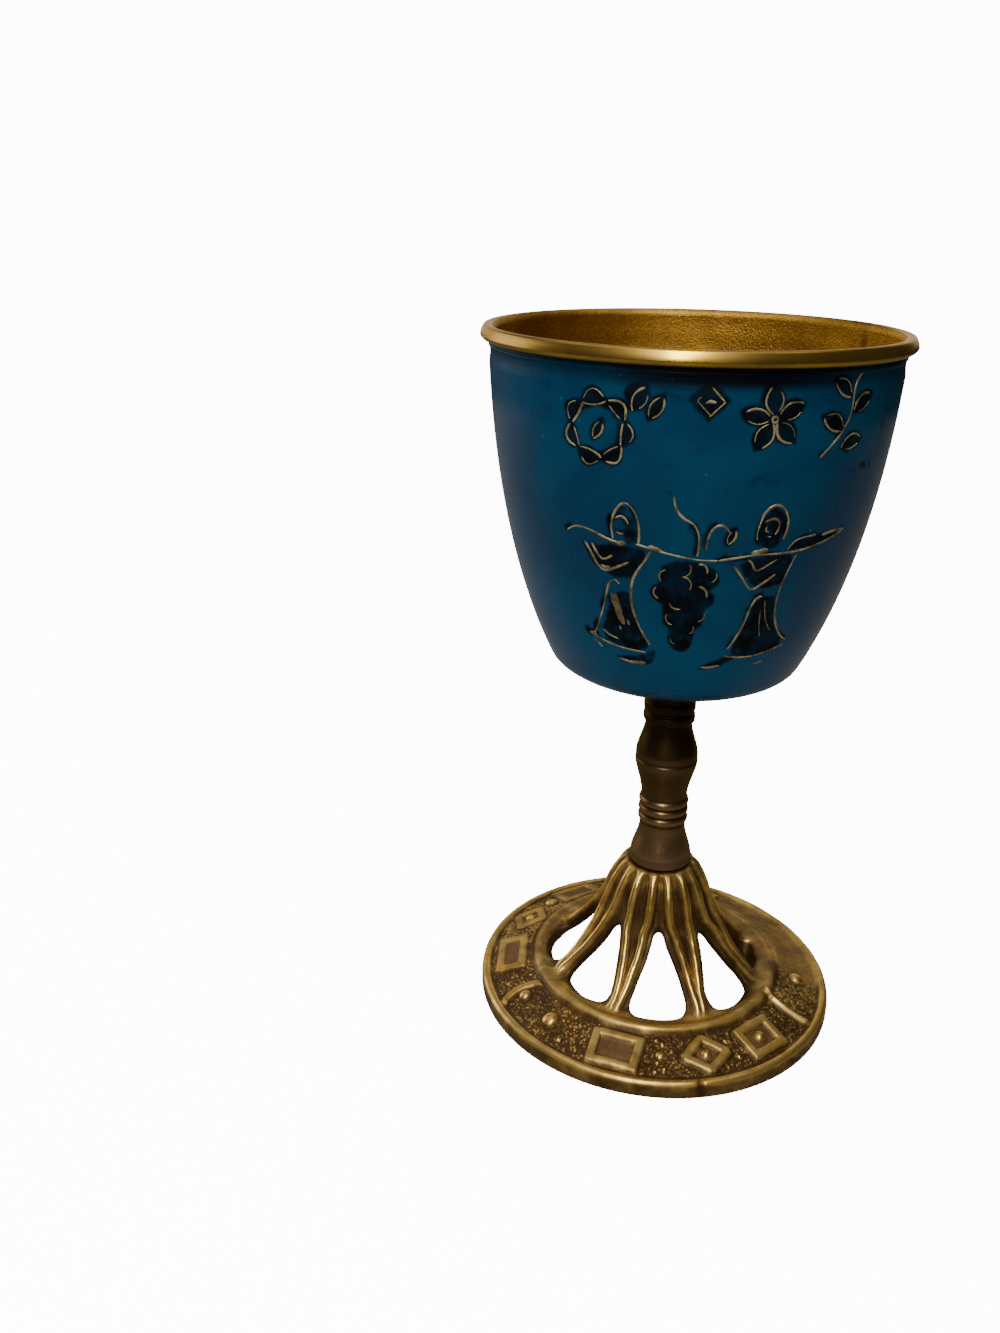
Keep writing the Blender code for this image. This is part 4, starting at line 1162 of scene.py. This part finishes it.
def makeFoot(shape, bright):
    # top and bottom of the dome are one grid of angles and runs, moved off the crest outline by
    # the recess and by the thickness. Cells in a window are left out, the points round it are
    # moved onto its outline, and walls join top and bottom there
    count, rowCount = shape["columns"], shape["domeRows"]
    even = np.arange(count) * 2 * math.pi / count
    angles = even + firstWindow + ribStep / 2 - 0.36 * np.sin(8 * even) / 8
    runs = crestEnd * np.linspace(0, 1, rowCount)
    angleGrid, runGrid = np.broadcast_to(angles, (rowCount, count)).copy(), np.repeat(runs[:, None], count, 1)
    outside = windowGap(angleGrid, runGrid) > 0.13
    cellKept = outside | np.roll(outside, -1, 1)
    cellKept = cellKept[:-1] | cellKept[1:]
    used = np.zeros_like(outside)
    for kept in (cellKept, np.roll(cellKept, 1, 1)):
        used[:-1] |= kept
        used[1:] |= kept
    moved = used & ~outside
    a, s, tiny = angleGrid[moved], runGrid[moved], 0.02
    for _ in range(7):                  # steps along the slope of the distance, onto the outline
        g, r = windowGap(a, s), onCrest(s)[0]
        da = (windowGap(a + tiny / r, s) - windowGap(a - tiny / r, s)) / (2 * tiny)
        ds = (windowGap(a, s + tiny) - windowGap(a, s - tiny)) / (2 * tiny)
        size = np.maximum(da * da + ds * ds, 0.2)
        a, s = a - g * da / size / r, s - g * ds / size
    angleGrid[moved], runGrid[moved] = a, s
    gap = np.where(used, np.where(moved, 0.0, windowGap(angleGrid, runGrid)), 1.0)
    print("window edges: largest miss %.3f mm" % np.abs(windowGap(a, s)).max())

    recess, bump, ramp = domeRecess(angleGrid, runGrid, gap, shape)
    r, z = onCrest(runGrid)
    outR, outZ = onCrest(runGrid, crestOut)
    base, dome = polar(r, angleGrid, z), polar(outR, angleGrid, outZ)
    middle = firstWindow + np.round((angleGrid - firstWindow) / ribStep) * ribStep
    fall = shape["windowFall"] / math.hypot(1.0, shape["windowFall"])
    lean = (np.clip(1 - gap / 1.8, 0, 1) ** 2)[..., None]
    inward = unit(-((1 - lean) * dome + lean * polar(fall, middle, math.sqrt(1 - fall ** 2))))
    rough = 0.13 * (mottle(angleGrid * 18.7, runGrid / 1.3, 11) - 0.5)
    thick = shape["thickness"] - 0.8 * fade(runGrid, 0.0, 5.0)
    upper = base + inward * (recess + rough * ramp)[..., None]
    under = base + inward * thick[..., None]
    late = np.degrees(around(angleGrid, 0))
    slant = (ease(late, 4, 8) * fade(late, 26, 32) * ease(runGrid, 8.0, 12.0)
             * fade(gap, 0.0, 4.2))[..., None]     # the right window's far wall hangs into it: dark metal put in as painted shade where the floor under the foot is seen
    under = under + shape["slant"] * slant * polar(1.0, angleGrid - math.pi / 2, -1.2)
    bump = np.minimum(bump, 1.15)
    topWearAndLight = bright["groove"] + bright["rod"] * bump ** 1.25 + bright["crest"] * bump ** 5
    deep = ramp * ease(runGrid, 0.6, 4.6)
    # painted highlight: the ring's end of the dome is brighter near highlightAt and darker to the sides
    aside = ease(np.abs(np.degrees(around(angleGrid, shape["highlightAt"]))), 30, 65)
    ends = np.where(runGrid < 5, bright["collar"] + bright["collarRod"] * bump ** 3,
                    bright["ring"] - bright["ringShadedAside"] * aside)
    topWearAndLight = topWearAndLight * deep + (1 - deep) * ends
    topWearAndLight *= 1 - 0.35 * fade(gap, 0.0, 0.5)
    # painted shade: a dark line where the stem stands on the collar
    topWearAndLight *= 1 - 0.25 * fade(runGrid, 0.0, 0.6)

    # outer part: ring, band, lip, edge and rest ring, with twice the columns
    both = np.empty(2 * count)
    both[::2], both[1::2] = angles, angles + 0.5 * ((np.roll(angles, -1) - angles) % (2 * math.pi))
    ringPath = smoothed([shape["ringTop"]] + shape["ringPath"], 2, 0.42)
    bandPath = spaced([(26.5, 5.98), (34.95, 3.12)], 0.33)
    lipPath = smoothed(shape["lipPath"], 3, 0.5)
    outerPath = np.vstack([ringPath[1:], bandPath[1:], lipPath[1:]])
    away = sideways(np.vstack([ringPath[:1], outerPath]))[1:]
    outerAngle, outerR, outerZ = np.broadcast_arrays(both, outerPath[:, :1], outerPath[:, 1:])
    height, outerWearAndLight, grimeOut, stippleOut, inBand, worn = bandRelief(
        around(outerAngle, 0), outerR, shape, bright)
    nick = np.exp(-(np.degrees(around(outerAngle, shape["nickAt"])) / 0.9) ** 2)
    lipped = ease(outerR, 35.6, 36.2) * ease(outerZ, 1.2, 2.6)
    wobble = 0.05 * (mottle(outerAngle * 12, outerZ * 0.5 + outerR * 0.2, 21) - 0.5) * (1 - inBand)
    filled = worn * 0.62 * ease(outerR, 25.4, 26.6) * fade(outerR, 26.8, 32.5)
    move = height - 0.45 * nick * lipped + wobble * ease(outerZ, 0.2, 0.8) + filled
    outer = turnedBlock(outerPath, both) + turnedBlock(away, both) * move[..., None]
    cloud = mottle(outerAngle * 9, outerR * 0.4, 41)
    ringWearAndHighlight = bright["outerRing"] - bright["ringFoot"] * ease(outerR, 25.5, 26.15)
    ringWearAndHighlight = (outerR < 26.4) * ringWearAndHighlight * (1 - worn * (0.25 + 0.3 * cloud))
    # painted highlight: the ring is brighter towards highlightAt and darker to the sides
    ringWearAndHighlight *= 1 - 0.42 * ease(np.abs(np.degrees(around(outerAngle, shape["highlightAt"]))), 25, 60)
    lipWear = ease(outerR, 35.2, 35.7) * (bright["lip"] + bright["lipTop"] * ease(outerZ, 2.5, 3.3))
    outerWearAndLight = largest(outerWearAndLight, ease(outerR, 34.5, 35.0) * bright["edge"],
                      (bright["smooth"] + 0.1 * cloud) * worn * (outerR < 35.6))
    outerWearAndLight = largest(outerWearAndLight * largest(inBand, worn, outerR > 34.8), ringWearAndHighlight, lipWear * (1 - 0.6 * nick))
    grimeOut = np.maximum(grimeOut, (outerR < 27) * worn * 0.6 * cloud)

    innerTop = under[0, 0, 2] + 0.15
    blocks = [poleBlock(30.5), turnedBlock([(3.2, 30.5), (5.6, 30.5), (6.5, 30.5)], angles), upper, outer,
              turnedBlock(smoothed(shape["restPath"], 2, 1.1), angles), under[::-1],
              turnedBlock([(5.0, innerTop), (2.6, innerTop)], angles), poleBlock(innerTop)]
    points, numbers = numberRows(blocks)
    at = np.cumsum([0] + [len(block) for block in blocks])
    topRows, outerRows = np.array(numbers[at[2]:at[3]]), np.array(numbers[at[3]:at[4]])
    underRows = np.array(numbers[at[5]:at[6]])[::-1]
    strips = [strip for rows in (numbers[:at[2] + 1], numbers[at[3] - 1:at[5] + 1], numbers[at[6] - 1:])
              for strip in joinRows(rows)]
    for rows, way in ((topRows, 1), (underRows, -1)):
        quads = np.stack([rows[:-1], rows[1:], np.roll(rows[1:], -1, 1), np.roll(rows[:-1], -1, 1)], -1)
        strips.append(quads[cellKept][:, ::way])

    # walls of the windows: three levels between the top's and the bottom's edges
    upRow, downRow = topRows[:-1], topRows[1:]
    upNext, downNext = np.roll(upRow, -1, 1), np.roll(downRow, -1, 1)
    opened, closed = ~cellKept, np.zeros((1, count), bool)
    sides = []
    for near, start, end in ((np.roll(opened, 1, 1), upRow, downRow),
                             (np.vstack([opened[1:], closed]), downRow, downNext),
                             (np.roll(opened, -1, 1), downNext, upNext),
                             (np.vstack([closed, opened[:-1]]), upNext, upRow)):
        pick = cellKept & near
        sides.append(np.stack([start[pick], end[pick]], 1))
    sides = np.vstack(sides)
    p, q = sides.T
    rim = np.unique(sides)
    belowOf = np.zeros(len(points), int)
    belowOf[topRows.ravel()] = underRows.ravel()
    levels, extra, first = [np.arange(len(points))], [], len(points)
    for share in (0.12, 0.42, 0.78):
        number = np.zeros(len(points), int)
        number[rim] = first + np.arange(len(rim))
        levels.append(number)
        extra.append(points[rim] * (1 - share) + points[belowOf[rim]] * share)
        first += len(rim)
    levels.append(belowOf)
    for upperLevel, lowerLevel in zip(levels[:-1], levels[1:]):
        strips.append(np.stack([upperLevel[q], upperLevel[p], lowerLevel[p], lowerLevel[q]], 1))

    marks = {label: np.zeros(first) for label in ("wearAndPaintedLight", "grime", "stipple")}
    marks["wearAndPaintedLight"][topRows], marks["wearAndPaintedLight"][outerRows] = topWearAndLight, outerWearAndLight
    marks["grime"][outerRows], marks["stipple"][outerRows] = grimeOut, stippleOut
    marks["grime"][topRows] = (0.55 * ease(late, -12, 4) * fade(late, 66, 84)
                               * ease(runGrid, crestEnd - 4.0, crestEnd - 1.0) * (1 - bump * ramp))
    usedPoints = np.zeros(first, bool)
    for strip in strips:
        usedPoints[strip.ravel()] = True
    renumber = np.cumsum(usedPoints) - 1
    points, strips = np.vstack([points] + extra)[usedPoints], [renumber[strip] for strip in strips]
    marks = {label: values[usedPoints] for label, values in marks.items()}
    foot = makePiece("footCasting", points, strips, [castBrass], marks)
    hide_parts("foot")


makeFoot(footShape, footWearAndLight)


# Floor, light and camera

stageLook = {   # what the camera sees of floor and backdrop is paler than what the metal mirrors
    "floor": (0.80, 0.80, 0.80, 1), "floorMirrored": (0.26, 0.25, 0.24, 1), "floorGlow": 12.6,
    "world": (0.060, 0.056, 0.052, 1), "worldSeen": (12.8, 12.8, 12.8, 1), "reach": 3.0,
}


def cameraSees(tree):
    return wire(tree, 'LightPath').outputs["Is Camera Ray"]


def makeStage(look):
    mesh = bpy.data.meshes.new("floor")
    far = look["reach"]
    mesh.from_pydata([(-far, -far, 0), (far, -far, 0), (far, far, 0), (-far, far, 0)], [], [(0, 1, 2, 3)])
    material, tree, shader = newMaterial("paleFloor", Roughness=0.9, Specular_IOR_Level=0.1,
                                         Emission_Color=(1, 1, 1, 1))
    seen = cameraSees(tree)
    feed(shader, {"Base Color": between(seen, look["floorMirrored"], look["floor"]),
                  "Emission Strength": times(seen, look["floorGlow"])})
    mesh.materials.append(material)
    placed("floor", mesh)
    world = bpy.data.worlds.new("studio")
    bpy.context.scene.world = world
    world.use_nodes = True
    tree = world.node_tree
    sky = tree.nodes["Background"]
    feed(sky, {"Color": look["world"]})
    pale = wire(tree, 'Background', {"Color": look["worldSeen"]})
    mix = wire(tree, 'MixShader', {0: cameraSees(tree), 1: sky.outputs[0], 2: pale.outputs[0]})
    feed(tree.nodes["World Output"], {"Surface": mix.outputs[0]})


lightPlan = {   # place, aim, size (all mm), watts
    "front": ((-52, -395, 545), (0, 0, 60), (105, 620), 4.5),
    "fill": ((-60, -430, 470), (0, 0, 90), (1000, 320), 0.13),
    "overhead": ((-40, 80, 640), (0, 0, 60), (700, 700), 1.2),
    "left": ((-600, 230, 250), (0, 0, 70), (420, 420), 1.6),
    "behind": ((-60, 640, 260), (0, 0, 60), (1000, 300), 0.9),
}


def makeLights(plan):
    for name, (place, aim, size, power) in plan.items():
        lamp = bpy.data.lights.new(name, 'AREA')
        lamp.shape = 'RECTANGLE'
        lamp.size, lamp.size_y, lamp.energy = size[0] * mm, size[1] * mm, power
        holder = placed(name, lamp)
        holder.visible_camera = False
        place, aim = Vector(place) * mm, Vector(aim) * mm
        turn = (aim - place).to_track_quat('-Z', 'Y').to_matrix().to_4x4()
        holder.matrix_world = Matrix.Translation(place) @ turn


cameraPlan = {   # worked out from the rim, the foot and the stem in the photograph
    "distance": 222.768, "height": 160.707, "yaw": -0.14667, "pitch": 0.333166, "roll": -0.0187893,
    "focal": 1188.24, "centre": (510.013, 612.621), "frame": (1000, 1333), "sensor": 36.0,
}


def makeCamera(plan):
    # the plan's focal length and centre are pixels of the frame
    yaw, pitch, roll = plan["yaw"], plan["pitch"], plan["roll"]
    ahead = Vector((math.sin(yaw) * math.cos(pitch), math.cos(yaw) * math.cos(pitch), -math.sin(pitch)))
    right = Vector((math.cos(yaw), -math.sin(yaw), 0.0))
    down = ahead.cross(right)
    across = math.cos(roll) * right + math.sin(roll) * down
    drop = -math.sin(roll) * right + math.cos(roll) * down
    lens = bpy.data.cameras.new("camera")
    width, tall = plan["frame"]
    lens.sensor_width = plan["sensor"]
    lens.lens = plan["focal"] / tall * plan["sensor"]
    lens.shift_x = (width / 2 - plan["centre"][0]) / tall
    lens.shift_y = (plan["centre"][1] - tall / 2) / tall
    lens.clip_start = 0.01
    camera = placed("camera", lens)
    turn = Matrix((across, -drop, -ahead)).transposed().to_4x4()
    camera.matrix_world = Matrix.Translation(Vector((0, -plan["distance"], plan["height"])) * mm) @ turn
    bpy.context.scene.camera = camera


makeStage(stageLook)
makeLights(lightPlan)
makeCamera(cameraPlan)
print("stage, lights and camera made")
